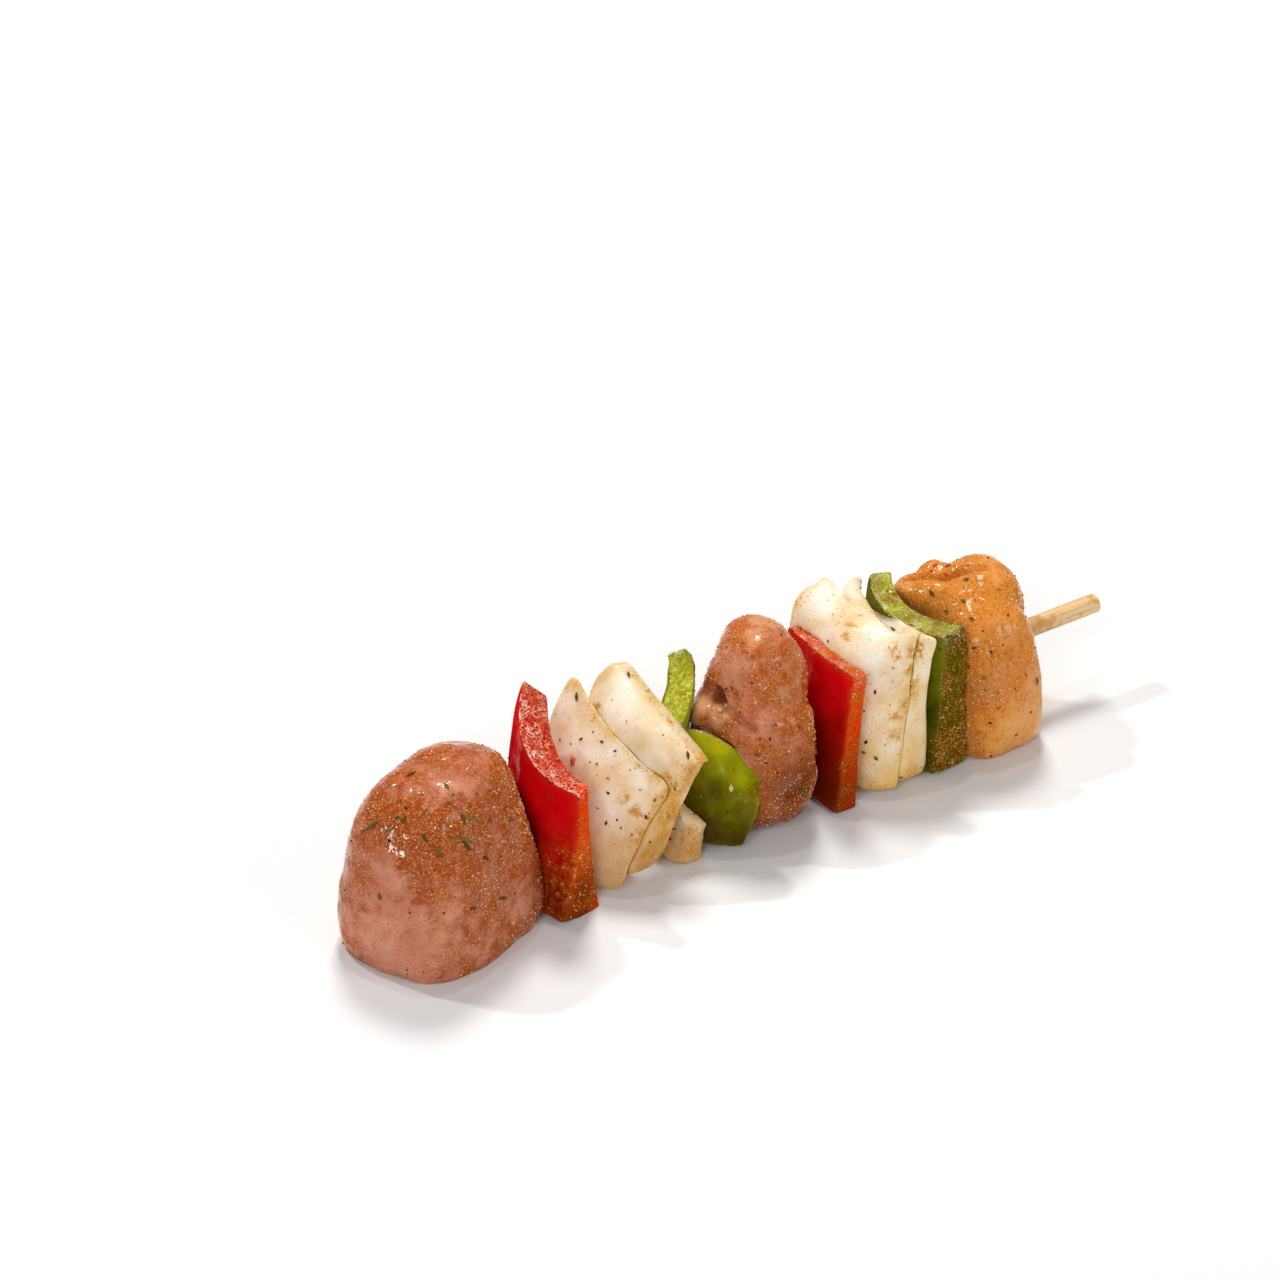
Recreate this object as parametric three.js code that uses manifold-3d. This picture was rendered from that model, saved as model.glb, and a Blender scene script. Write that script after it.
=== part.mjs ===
// A raw marinated chicken kebab: lumps of chicken, squares of sweet pepper and leaves of onion
// threaded on a bamboo stick. It lies on its lower side, as on a tray, with the stick level.
// Millimetres, +Z up. The stick runs along X with its free, square-cut end at +X.

import * as THREE from 'three';
import { mergeVertices } from 'three/addons/utils/BufferGeometryUtils.js';
import Module from 'manifold-3d';

const manifold = await Module();
manifold.setup();

// Places are measured from the free face of the first lump (x), the stick (y, away from the
// viewer's side) and the surface that the kebab lies on (z). The stick's point is 7 mm long and
// blunt at its tip.

const STICK_HEIGHT = 19.5;
const STICK = { start: 13, end: 199, radius: 2.25, point: 7, tipRadius: 0.7, sides: 16 };
const GAP = 0.3;
const MERGE_WITHIN = 1e-4;
const BORE_OVERSHOOT = 20;
const LUMP_STEPS = 5;
const SMALL_LUMP_STEPS = 3;
const ROLL_SIDES = 10;
const ROLL_CAP_STEPS = 2;
const LEAF_STEPS = 6;
const RIM_ROUNDING = 0.06;
const LEAF_HALF_SPAN = 14;
const NOTCH_STEPS = 4;
const NOTCH_OVERSHOOT = 0.2;
const NOTCH_TIP = 0.05;

// Meat. Of a lump, at is the middle, size the three half widths, square how boxy the form is (2 is
// an ellipsoid), swell the height of its low waves, taper how much slimmer it is above its middle
// than below, turn and lean are its angles in degrees, and steps how finely it is faceted. A roll
// is a fold of meat along a path. A facet is a knife cut: the way it faces and a place on it.

const CHICKEN_1 = {
  lumps: [
    { at: [23.4, 1.4, 18.2], size: [23.2, 17.4, 25.3], square: 3, swell: 0.015, taper: 0.17, turn: 20 },
  ],
  facets: [
    { out: [-0.31, 0.72, 0.63], through: [14.3, 6.6, 41.3] },
    { out: [0.35, 0.44, 0.83], through: [30, 3, 44] },
    { out: [0.89, -0.36, 0.28], through: [42.9, 0, 25.8] },
  ],
};

const CHICKEN_2 = {
  lumps: [
    { at: [103.6, 0, 17], size: [12, 16.5, 18], square: 2.8, swell: 0.02, lean: 4, turn: -7 },
    { at: [105.5, 2.5, 29.5], size: [10.6, 12.3, 16.5], square: 2.5, swell: 0.02, lean: 8 },
  ],
  rolls: [
    {
      radius: 3.1,
      path: [[91.8, 5, 27.5], [93.6, 1, 27.5], [96, -3.5, 26], [98.2, -7.5, 23.2], [99.5, -11, 19]],
    },
  ],
  facets: [
    { out: [-0.64, 0.7, 0.33], through: [96.8, 4, 42.7] },
  ],
};

const CHICKEN_3 = {
  lumps: [
    { at: [163.8, 0, 16.8], size: [11, 17, 19], square: 4, swell: 0.008, taper: 0.13, lean: -2 },
    { at: [168.9, 3.6, 30], size: [8.2, 10.5, 8.6], square: 2.6, swell: 0.015 },
    { at: [162.5, 13, 32.5], size: [4.5, 4, 4.2], square: 2.1, swell: 0.08, steps: SMALL_LUMP_STEPS },
  ],
  rolls: [
    { radius: 4.6, path: [[156, 12, 31], [158, 7, 32], [161.5, 1, 32.3], [168, -4, 31.5]] },
  ],
};

// Leaves of pepper and onion: walls pierced near the middle. A leaf is given by nine places on its
// outer face, down its far edge, its middle and its near edge, each with the wall's thickness there
// as the fourth number. square is how far its cuts follow the stick's direction rather than that of
// its wall, and sink how much lower its top cut is on the inner face, from far to near. notch is a
// tear in the far edge: its middle and half width as parts of the leaf's half height, and its depth
// as a part of the leaf's half width.

const RED_PEPPER_1 = {
  far: [[52.8, 14.2, 46, 5.5], [50.2, 16, 31, 5.5], [46, 13, 2.5, 5]],
  middle: [[44.9, 1.5, 37, 7.5], [43.2, 0, 19, 6.5], [41.5, -1, 1.5, 6]],
  near: [[48.8, -13.4, 32.5, 4.2], [47.8, -14.3, 19, 6], [43, -15.3, 1.5, 13]],
  square: 0.3, sink: [4, 1, 0],
};

const ONION_1_OUTER = {
  far: [[67, 16.3, 41, 2], [60.2, 17, 28, 3.2], [57, 15.5, 10, 3.2]],
  middle: [[68, 1.5, 32.4, 1.8], [56.6, 0, 18.5, 3.6], [54, 0, 2.5, 3.4]],
  near: [[73.6, -13, 24.8, 2.4], [65.4, -13.4, 14.2, 3.4], [60.3, -12.5, 2, 3.4]],
};

const ONION_1_MIDDLE = {
  far: [[75.6, 13, 42.4, 4], [70.8, 16.5, 32.8, 5], [66, 15, 12, 6]],
  middle: [[78.3, 0.5, 36.2, 4], [68.6, 1.5, 31, 6], [61.5, 0, 6, 7]],
  near: [[81.4, -12.6, 28, 4], [74, -13.2, 24, 7], [62.5, -12.5, 3, 9]],
  square: 2,
};

const ONION_1_INNER = {
  far: [[84, 12, 27, 4], [79, 13, 17, 5], [76, 13, 2, 5]],
  middle: [[81, 0, 17, 4], [77, 0, 10, 5], [75, 0, 2, 5]],
  near: [[79, -11, 11, 6], [78.2, -12, 7, 7], [76, -12.5, 1, 8]],
};

const GREEN_PEPPER_1_LOBE = {
  far: [[84, 3, 27, 5], [80.5, 1, 17, 5], [80, -4, 3, 5]],
  middle: [[91.5, -4.5, 26.2, 5], [87.6, -10, 16, 5], [86, -11, 2.5, 5]],
  near: [[97.1, -14.3, 19.4, 4.5], [95.6, -14.8, 11, 4.5], [91.5, -14.5, 2.5, 4.5]],
};

const GREEN_PEPPER_1_STUB = {
  far: [[96, 16, 34, 4], [92, 16, 25, 5], [87, 15, 14, 5]],
  middle: [[92, 14, 38.5, 4.2], [88.8, 11.5, 30.5, 6], [84, 8, 18, 5]],
  near: [[88.4, 11, 40.3, 4.5], [85.6, 7.2, 36.2, 6], [77, 1, 29, 6]],
};

const RED_PEPPER_2 = {
  far: [[123.4, 14.4, 33.6, 4], [119.5, 14, 17, 4.5], [116.5, 13, 1, 5]],
  middle: [[121.8, 1, 34.6, 4], [118.6, 0, 18, 4.5], [116.2, -1, 0.8, 5]],
  near: [[122.6, -12.6, 34.8, 4.2], [119.2, -13.6, 17, 5], [116.7, -14.5, 1, 6]],
};

const ONION_2_OUTER = {
  far: [[146, 16.5, 37.4, 3], [127.2, 18, 37.6, 4], [127.5, 16, 2, 4]],
  middle: [[139.4, 2, 36.6, 3], [126.3, -3, 30, 4], [124.8, -5, 1.5, 4]],
  near: [[140, -10.8, 38.4, 3], [137.4, -13.4, 24, 3.5], [132.8, -15.5, 2, 3.5]],
  notch: { middle: 0.74, width: 0.12, depth: 0.5 },
};

const ONION_2_INNER = {
  far: [[143, 14, 33, 5], [134, 14, 22, 8], [131, 14, 2, 9]],
  middle: [[143.2, 0, 36, 5], [135, 0, 22, 8], [132, 0, 2, 9]],
  near: [[141.4, -11.6, 38.2, 4], [137.4, -13.4, 24, 6], [133.8, -14.6, 2, 11]],
};

const GREEN_PEPPER_2 = {
  far: [[146.6, 15.6, 38.8, 5.5], [143.5, 15.5, 20, 6], [142, 14, 2, 7]],
  middle: [[142.3, 3, 36, 6.2], [141.5, 0, 18, 6.8], [140, -1, 1, 7.5]],
  near: [[147, -13.3, 36.6, 7.2], [145.8, -14.2, 20, 8.2], [143, -15.5, 1.5, 10.5]],
  square: 1.5,
};

// Bare positions, as the boolean library wants them.

function solidOf(geometry) {
  geometry.deleteAttribute('normal');
  geometry.deleteAttribute('uv');
  const merged = mergeVertices(geometry, MERGE_WITHIN);
  return new manifold.Manifold(new manifold.Mesh({
    numProp: 3,
    vertProperties: new Float32Array(merged.attributes.position.array),
    triVerts: new Uint32Array(merged.index.array),
  }));
}

// Moves every vertex of a geometry by a rule and gives the result as a solid.

function shaped(geometry, rule) {
  const position = geometry.attributes.position;
  const point = new THREE.Vector3();
  for (let i = 0; i < position.count; i += 1) {
    rule(point.fromBufferAttribute(position, i));
    position.setXYZ(i, point.x, point.y, point.z);
  }
  return solidOf(geometry);
}

// One lump: a rounded block with low waves over it, turned and leaned about its own middle.

function lump({ at, size, square, swell, taper = 0, turn = 0, lean = 0, steps = LUMP_STEPS }) {
  const pose = new THREE.Euler(0, THREE.MathUtils.degToRad(lean), THREE.MathUtils.degToRad(turn));
  return shaped(new THREE.IcosahedronGeometry(1, steps), (p) => {
    const ripple = Math.sin(4.1 * p.x + 1.3 + at[0]) * Math.sin(3.3 * p.y + 0.4);
    const waves = ripple + Math.sin(5.2 * p.z + at[0]);
    const power = Math.abs(p.x) ** square + Math.abs(p.y) ** square + Math.abs(p.z) ** square;
    p.multiplyScalar((1 + swell * waves) / power ** (1 / square));
    const girth = 1 - taper * p.z;
    p.multiply(new THREE.Vector3(size[0] * girth, size[1] * girth, size[2]));
    p.applyEuler(pose).add(new THREE.Vector3(...at));
  });
}

// One straight stretch of a roll, rounded at both ends.

function stretch(start, end, radius) {
  const [first, last] = [new THREE.Vector3(...start), new THREE.Vector3(...end)];
  const length = first.distanceTo(last);
  const ahead = last.clone().sub(first).normalize();
  const turn = new THREE.Quaternion().setFromUnitVectors(new THREE.Vector3(0, 1, 0), ahead);
  const middle = first.add(last).multiplyScalar(0.5);
  const capsule = new THREE.CapsuleGeometry(radius, length, ROLL_CAP_STEPS, ROLL_SIDES);
  return shaped(capsule, (p) => p.applyQuaternion(turn).add(middle));
}

function joined(...solids) {
  return solids.reduce((whole, next) => whole.add(next));
}

// One piece of meat: its lumps and rolls grown together and cut by its facets.

function meat({ lumps, rolls = [], facets = [] }) {
  const folds = rolls.flatMap(({ radius, path }) => (
    path.slice(1).map((end, i) => stretch(path[i], end, radius))));
  return facets.reduce((whole, { out, through }) => {
    const inward = new THREE.Vector3(...out).normalize().negate();
    return whole.trimByPlane(inward.toArray(), inward.dot(new THREE.Vector3(...through)));
  }, joined(...lumps.map(lump), ...folds));
}

// The smooth run of numbers through three sets at 1, 0 and -1, and how fast it changes at u.

function throughThree([first, middle, last], u) {
  const shares = [(u * (u + 1)) / 2, 1 - u * u, (u * (u - 1)) / 2];
  return first.map((value, i) => value * shares[0] + middle[i] * shares[1] + last[i] * shares[2]);
}

function slopeThrough([first, middle, last], u) {
  return first.map((value, i) => value * (u + 0.5) - 2 * middle[i] * u + last[i] * (u - 0.5));
}

// A place on a leaf: s runs from its near to its far edge, t from its bottom to its top and c from
// its outer to its inner face, each from -1 to 1. grow thickens the wall on both faces.

function onLeaf({ far, middle, near, square = 0, sink = [0, 0, 0] }, s, t, c, grow) {
  const columns = [far, middle, near];
  const across = columns.map((column) => throughThree(column, t));
  const [x, y, z, wall] = throughThree(across, s);
  const alongS = new THREE.Vector3(...slopeThrough(across, s));
  const slopes = columns.map((column) => slopeThrough(column, t));
  const alongT = new THREE.Vector3(...throughThree(slopes, s));
  const inward = alongS.cross(alongT).normalize();
  inward.x += square;
  inward.normalize();
  const lowered = throughThree(sink.map((depth) => [depth]), s)[0] * ((1 + c) / 2) * Math.max(t, 0) ** 2;
  return new THREE.Vector3(x, y, z - lowered).addScaledVector(inward, (wall * (1 + c)) / 2 + grow * c);
}

// One leaf: a box of steps with its rim rounded, laid along the nine places. grow makes it larger
// all round, to cut clear room for it in a neighbour.

function leaf(net, grow = 0) {
  const wider = 1 + grow / LEAF_HALF_SPAN;
  return shaped(new THREE.BoxGeometry(2, 2, 2, 3, LEAF_STEPS, LEAF_STEPS), (p) => {
    const rim = wider * (Math.abs(p.x) === 1 ? 1 - RIM_ROUNDING : 1);
    p.copy(onLeaf(net, p.y * rim, p.z * rim, p.x, grow));
  });
}

// A leaf with its notch torn out: a wedge through the wall that opens towards the far edge.

function torn(net) {
  const { middle, width, depth } = net.notch;
  const wedge = shaped(new THREE.BoxGeometry(2, 2, 2, 1, NOTCH_STEPS, 2), (p) => {
    const opened = (1 + p.y) / 2;
    const out = 1 - depth + (depth + NOTCH_OVERSHOOT) * opened;
    p.copy(onLeaf(net, out, middle + p.z * width * (NOTCH_TIP + opened), p.x, 1));
  });
  return leaf(net).subtract(wedge);
}

// Half the world below the surface that the kebab lies on.

const BELOW = { length: 400, width: 200, depth: 100 };
const underSurface = shaped(new THREE.BoxGeometry(BELOW.length, BELOW.width, BELOW.depth), (p) => {
  p.add(new THREE.Vector3((STICK.start + STICK.end) / 2, 0, -BELOW.depth / 2));
});

function bore() {
  const length = STICK.end - STICK.start + BORE_OVERSHOOT;
  const middle = STICK.start - GAP + length / 2;
  const radius = STICK.radius + GAP;
  return shaped(new THREE.CylinderGeometry(radius, radius, length, STICK.sides), (p) => {
    p.set(p.y + middle, p.z, p.x + STICK_HEIGHT);
  });
}

const stickRoom = bore();

// A piece of food as it sits: flat where it rests, pierced by the stick, pressed clear of the
// neighbours that are firmer, and without the crumbs that a cut can leave.

function seated(solid, ...neighbours) {
  let cut = solid.subtract(underSurface).subtract(stickRoom);
  for (const neighbour of neighbours) cut = cut.subtract(neighbour);
  return cut.decompose().reduce((largest, next) => (next.volume() > largest.volume() ? next : largest));
}

function meshOf(name, solid, material) {
  const { vertProperties, triVerts, numProp } = solid.getMesh();
  const geometry = new THREE.BufferGeometry();
  geometry.setAttribute('position', new THREE.BufferAttribute(new Float32Array(vertProperties), numProp));
  geometry.setIndex(new THREE.BufferAttribute(new Uint32Array(triVerts), 1));
  geometry.computeVertexNormals();
  const mesh = new THREE.Mesh(geometry, new THREE.MeshStandardMaterial({ metalness: 0, ...material }));
  mesh.name = name;
  return mesh;
}

const MEAT = { color: '#d08a62', roughness: 0.45 };
const RED_SKIN = { color: '#c2121a', roughness: 0.25 };
const GREEN_SKIN = { color: '#5f9420', roughness: 0.3 };
const ONION_FLESH = { color: '#ece0bd', roughness: 0.4 };
const BAMBOO = { color: '#e6c892', roughness: 0.7 };

// The stick: a point that ends inside the first lump, a straight shaft and a square-cut end.

function stick() {
  const { start, end, radius, point, tipRadius, sides } = STICK;
  const profile = [[0, start], [tipRadius, start], [radius, start + point], [radius, end], [0, end]];
  const turned = new THREE.LatheGeometry(profile.map(([r, x]) => new THREE.Vector2(r, x)), sides);
  return shaped(turned, (p) => p.set(p.y, p.z, p.x + STICK_HEIGHT));
}

const kebab = new THREE.Group();

function place(name, solid, material) {
  kebab.add(meshOf(name, solid, material));
}

place('stick', stick(), BAMBOO);

const greenPepper1 = (grow) => joined(leaf(GREEN_PEPPER_1_LOBE, grow), leaf(GREEN_PEPPER_1_STUB, grow));

place('chicken_1', seated(meat(CHICKEN_1), leaf(RED_PEPPER_1, GAP)), MEAT);
place('red_pepper_1', seated(leaf(RED_PEPPER_1)), RED_SKIN);
place('onion_1_outer', seated(leaf(ONION_1_OUTER), leaf(RED_PEPPER_1, GAP)), ONION_FLESH);
place('onion_1_middle', seated(leaf(ONION_1_MIDDLE), leaf(ONION_1_OUTER, GAP)), ONION_FLESH);
place(
  'onion_1_inner',
  seated(leaf(ONION_1_INNER), leaf(ONION_1_MIDDLE, GAP), greenPepper1(GAP)),
  ONION_FLESH,
);
place('green_pepper_1', seated(greenPepper1(0), leaf(ONION_1_MIDDLE, GAP)), GREEN_SKIN);
place('chicken_2', seated(meat(CHICKEN_2), greenPepper1(GAP), leaf(RED_PEPPER_2, GAP)), MEAT);
place('red_pepper_2', seated(leaf(RED_PEPPER_2)), RED_SKIN);
place('onion_2_outer', seated(torn(ONION_2_OUTER), leaf(RED_PEPPER_2, GAP)), ONION_FLESH);
place(
  'onion_2_inner',
  seated(leaf(ONION_2_INNER), leaf(ONION_2_OUTER, GAP), leaf(GREEN_PEPPER_2, GAP)),
  ONION_FLESH,
);
place('green_pepper_2', seated(leaf(GREEN_PEPPER_2), leaf(ONION_2_OUTER, GAP)), GREEN_SKIN);
place('chicken_3', seated(meat(CHICKEN_3), leaf(GREEN_PEPPER_2, GAP)), MEAT);

// The origin is the middle of the footprint, on the surface.

const extent = new THREE.Box3().setFromObject(kebab);
const centre = extent.getCenter(new THREE.Vector3());
kebab.position.set(-centre.x, -centre.y, -extent.min.z);

export default kebab;
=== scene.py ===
import math

import bmesh
import bpy
import numpy as np
from mathutils import Matrix, Vector, kdtree, noise
from mathutils.bvhtree import BVHTree


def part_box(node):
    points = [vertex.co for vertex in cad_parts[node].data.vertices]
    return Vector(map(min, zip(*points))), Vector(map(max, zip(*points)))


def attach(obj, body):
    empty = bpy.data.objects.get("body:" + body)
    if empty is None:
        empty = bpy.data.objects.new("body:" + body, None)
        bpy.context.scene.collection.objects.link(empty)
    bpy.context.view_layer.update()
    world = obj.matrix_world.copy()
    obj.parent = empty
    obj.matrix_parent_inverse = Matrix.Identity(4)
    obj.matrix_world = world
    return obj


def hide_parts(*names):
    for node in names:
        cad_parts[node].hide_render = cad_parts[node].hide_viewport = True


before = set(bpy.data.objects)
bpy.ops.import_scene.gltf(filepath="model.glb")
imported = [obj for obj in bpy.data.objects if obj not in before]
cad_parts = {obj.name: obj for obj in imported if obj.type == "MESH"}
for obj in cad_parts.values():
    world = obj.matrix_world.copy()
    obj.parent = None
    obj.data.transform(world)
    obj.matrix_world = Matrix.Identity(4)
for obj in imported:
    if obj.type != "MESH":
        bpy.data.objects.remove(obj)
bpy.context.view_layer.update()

# ---------------------------------------------------------------------------------------------
# The place and the view. The kebab lies with its stick level along X, its first lump of meat
# nearest to the viewer's left. Places on it are given in millimetres: x from the free face of
# that lump, y from the stick away from the viewer, z from the surface that the kebab lies on.

MM = 0.001
STICK_START, STICK_HEIGHT = 13.0, 19.5

stick_low, stick_high = (np.array(corner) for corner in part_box("stick"))
ZERO = (stick_low + stick_high) / 2 - np.array([0, 0, STICK_HEIGHT * MM])
ZERO[0] = stick_low[0] - STICK_START * MM


def placed(points):
    """Points in the kebab's millimetres, as metres in the frame."""
    return np.asarray(points, dtype=float) * MM + ZERO


VIEW_TURN, VIEW_RISE = math.radians(-33.77), math.radians(34.0)
VIEW_DISTANCE, VIEW_LENS = 1.53, 193.7
AIM = (100.0, 0.0, STICK_HEIGHT)
AIM_RIGHT_OF_MIDDLE, AIM_BELOW_MIDDLE = 0.0218, 0.0222

right = Vector((math.cos(VIEW_TURN), math.sin(VIEW_TURN), 0))
level_back = Vector((math.sin(VIEW_TURN), -math.cos(VIEW_TURN), 0))
back = level_back * math.cos(VIEW_RISE) + Vector((0, 0, math.sin(VIEW_RISE)))
up = back.cross(right)
camera = bpy.data.objects.new("camera", bpy.data.cameras.new("camera"))
camera.data.lens = VIEW_LENS
camera.data.clip_end = 20
camera.matrix_world = Matrix.Translation(
    Vector(placed(AIM)) - AIM_RIGHT_OF_MIDDLE * right + AIM_BELOW_MIDDLE * up + VIEW_DISTANCE * back
) @ Matrix((right, up, back)).transposed().to_4x4()
bpy.context.scene.collection.objects.link(camera)
bpy.context.scene.camera = camera


def add_light(name, place, size, power, warmth=(1.0, 1.0, 1.0)):
    """A square soft box of that size, aimed at the middle of the kebab."""
    lamp = bpy.data.lights.new(name, "AREA")
    lamp.size = size
    lamp.energy = power
    lamp.color = warmth
    light = bpy.data.objects.new(name, lamp)
    light.location = place
    light.rotation_euler = (Vector(placed(AIM)) - Vector(place)).to_track_quat("-Z", "Y").to_euler()
    bpy.context.scene.collection.objects.link(light)


add_light("key", (0.35, 0.55, 1.1), 0.3, 10.0, (1.0, 0.98, 0.95))
add_light("fill", (-0.9, -0.8, 0.9), 0.5, 5.8)
add_light("side", (0.8, -1.1, 0.75), 0.5, 4.3, (1.0, 0.98, 0.96))
add_light("front", (0.15, -1.4, 0.6), 0.3, 2.2)
add_light("glint", (-0.35, 0.6, 0.9), 0.05, 3.2)
add_light("spark", (0.1, 0.2, 1.3), 0.05, 1.5)
add_light("low_glint", (-1.5, 0.0, 0.35), 0.15, 2.4)

world = bpy.data.worlds.new("studio")
world.use_nodes = True
world.node_tree.nodes["Background"].inputs["Color"].default_value = (0.95, 0.97, 1.0, 1)
world.node_tree.nodes["Background"].inputs["Strength"].default_value = 0.2
bpy.context.scene.world = world
bpy.context.scene.view_settings.view_transform = "Standard"


def add(tree, kind, inputs, **settings):
    """The outputs of one new node. An input is a plain value or the socket that feeds it."""
    made = tree.nodes.new(kind)
    for key, value in settings.items():
        setattr(made, key, value)
    for key, value in inputs.items():
        if isinstance(value, bpy.types.NodeSocket):
            tree.links.new(value, made.inputs[key])
        else:
            made.inputs[key].default_value = value
    return made.outputs


def new_material(name, **shader):
    """A material with a Principled shader, whose even values are set on its own sockets."""
    material = bpy.data.materials.new(name)
    material.use_nodes = True
    surface = material.node_tree.nodes["Principled BSDF"]
    for key, value in shader.items():
        surface.inputs[key.replace("_", " ")].default_value = value
    return material, material.node_tree, surface


def grain(vector, size, detail=2.0, roughness=0.5, distortion=0.0):
    """Noise between 0 and 1 whose features are about size millimetres across."""
    return add(vector.id_data, "ShaderNodeTexNoise", {
        "Vector": vector, "Scale": 1 / (size * MM), "Detail": detail, "Roughness": roughness,
        "Distortion": distortion})["Fac"]


def ramp(value, *stops):
    """A run of colours over 0 to 1, given as (place, red, green, blue)."""
    made = value.id_data.nodes.new("ShaderNodeValToRGB")
    value.id_data.links.new(value, made.inputs["Fac"])
    while len(made.color_ramp.elements) < len(stops):
        made.color_ramp.elements.new(1.0)
    for element, (place, *colour) in zip(made.color_ramp.elements, stops):
        element.position = place
        element.color = (*colour, 1)
    return made.outputs["Color"]


def object_place(tree):
    return add(tree, "ShaderNodeTexCoord", {})["Object"]


def feed(node, **sockets):
    """Feeds a node's inputs, with an underscore for each space in their names."""
    for key, value in sockets.items():
        node.id_data.links.new(value, node.inputs[key.replace("_", " ")])


def plain_mesh(name, points, faces):
    """A smooth mesh object from points in the kebab's millimetres."""
    mesh = bpy.data.meshes.new(name)
    mesh.from_pydata([tuple(point) for point in placed(points)], [], [tuple(face) for face in faces])
    mesh.shade_smooth()
    piece = bpy.data.objects.new(name, mesh)
    bpy.context.scene.collection.objects.link(piece)
    return piece


FLOOR_REACH = 3000
floor_corners = [
    (AIM[0] + x * FLOOR_REACH, y * FLOOR_REACH, 0) for x, y in ((-1, -1), (1, -1), (1, 1), (-1, 1))]
floor = plain_mesh("floor", floor_corners, [range(4)])
floor_material, floor_tree, floor_surface = new_material("pale_floor", Roughness=0.6)
floor_tone = grain(object_place(floor_tree), 180.0)
feed(floor_surface, Base_Color=ramp(floor_tone, (0.3, 0.80, 0.80, 0.80), (0.7, 0.83, 0.83, 0.83)))
floor.data.materials.append(floor_material)

# ---------------------------------------------------------------------------------------------
# The stick: a round bamboo skewer, split and turned from the cane, with the fibres running its
# whole length. Its point ends inside the first lump, and its free end is sawn square.

STICK_END, STICK_POINT, STICK_RADIUS = 199.0, 7.0, 2.25
STICK_SIDES, STICK_STATIONS = 72, 90
FIBRE_GROOVE, OVAL_SHARE = 0.05, 0.012
BLUNT_TIP, SAWN_RAGGEDNESS, SAWN_BEVEL, BEVEL_SLOPE, END_RING = 0.2, 0.22, 0.25, 0.7, 0.55
STAIN_START, STAIN_LENGTH = 176.0, 0.016


def make_stick():
    """Rings along the stick, drawn in a little by the grooves between its fibres."""
    stations = [STICK_START, STICK_START + 0.4, STICK_START + STICK_POINT]
    stations += list(np.linspace(STICK_START + STICK_POINT + 2, STICK_END - 1.2, STICK_STATIONS))
    stations += [STICK_END - 0.6, STICK_END - SAWN_BEVEL, STICK_END - 0.06, STICK_END]
    turn = np.linspace(0, 2 * math.pi, STICK_SIDES, endpoint=False)
    points, faces = [], []
    for i, x in enumerate(stations):
        radius = STICK_RADIUS * min(1.0, BLUNT_TIP + (1 - BLUNT_TIP) * (x - STICK_START) / STICK_POINT)
        radius -= max(0.0, x - STICK_END + SAWN_BEVEL) * BEVEL_SLOPE
        for angle in turn:
            y, z = math.cos(angle), math.sin(angle)
            groove = noise.noise((x * 0.012, y * 3.1 + 7, z * 3.1))
            groove += 0.5 * noise.noise((x * 0.03, y * 8, z * 8))
            r = radius * (1 + OVAL_SHARE * math.sin(2 * angle + x * 0.01)) - FIBRE_GROOVE * abs(groove)
            ragged = SAWN_RAGGEDNESS * noise.noise((y * 2.5, z * 2.5, 4)) if i >= len(stations) - 3 else 0.0
            points.append((x + ragged, y * r, z * r + STICK_HEIGHT))
    last = len(stations) - 1
    for i in range(last):
        for j in range(STICK_SIDES):
            k = (j + 1) % STICK_SIDES
            a, b = i * STICK_SIDES, (i + 1) * STICK_SIDES
            faces.append((a + j, a + k, b + k, b + j))
    for station, x in ((0, STICK_START - 0.2), (last, STICK_END)):
        ring = [station * STICK_SIDES + j for j in range(STICK_SIDES)]
        inner = []
        for j in ring:
            px, py, pz = points[j]
            inner.append(len(points))
            points.append((px * 0.6 + x * 0.4 + 0.1 * noise.noise((py * 3, pz * 3, 9)), py * END_RING,
                           (pz - STICK_HEIGHT) * END_RING + STICK_HEIGHT))
        hub = len(points)
        points.append((x, 0, STICK_HEIGHT))
        for j in range(STICK_SIDES):
            k = (j + 1) % STICK_SIDES
            quad, tip = (ring[j], ring[k], inner[k], inner[j]), (inner[j], inner[k], hub)
            faces.append(quad if station else quad[::-1])
            faces.append(tip if station else tip[::-1])
    return plain_mesh("bamboo_stick", points, faces)


def span(value, low, high, start=0.0, end=1.0):
    """The value stretched from low..high to start..end, and held there beyond."""
    return add(value.id_data, "ShaderNodeMapRange", {0: value, 1: low, 2: high, 3: start, 4: end})[0]


def calc(operation, first, second=0.0, clamp=False):
    """One sum of two numbers, at least one of which is a socket."""
    tree = (first if isinstance(first, bpy.types.NodeSocket) else second).id_data
    return add(tree, "ShaderNodeMath", {0: first, 1: second}, operation=operation, use_clamp=clamp)[0]


def times(first, *others):
    """Numbers multiplied in turn."""
    for other in others:
        first = calc("MULTIPLY", first, other)
    return first


def plus(first, second):
    return calc("ADD", first, second)


def blend(factor, first, second):
    """Two colours mixed by a factor."""
    return add(factor.id_data, "ShaderNodeMix", {0: factor, 6: first, 7: second}, data_type="RGBA")[2]


def stretched(place, scale, turn=(0, 0, 0)):
    """A place for patterns that run along one way."""
    return add(place.id_data, "ShaderNodeMapping", {"Vector": place, "Rotation": turn, "Scale": scale})[0]


def relief(height, depth):
    """The normal of a bump of that many millimetres, from a height of 0 to 1."""
    bump = {"Height": height, "Distance": depth * MM, "Strength": 1.0}
    return add(height.id_data, "ShaderNodeBump", bump)[0]


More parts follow.
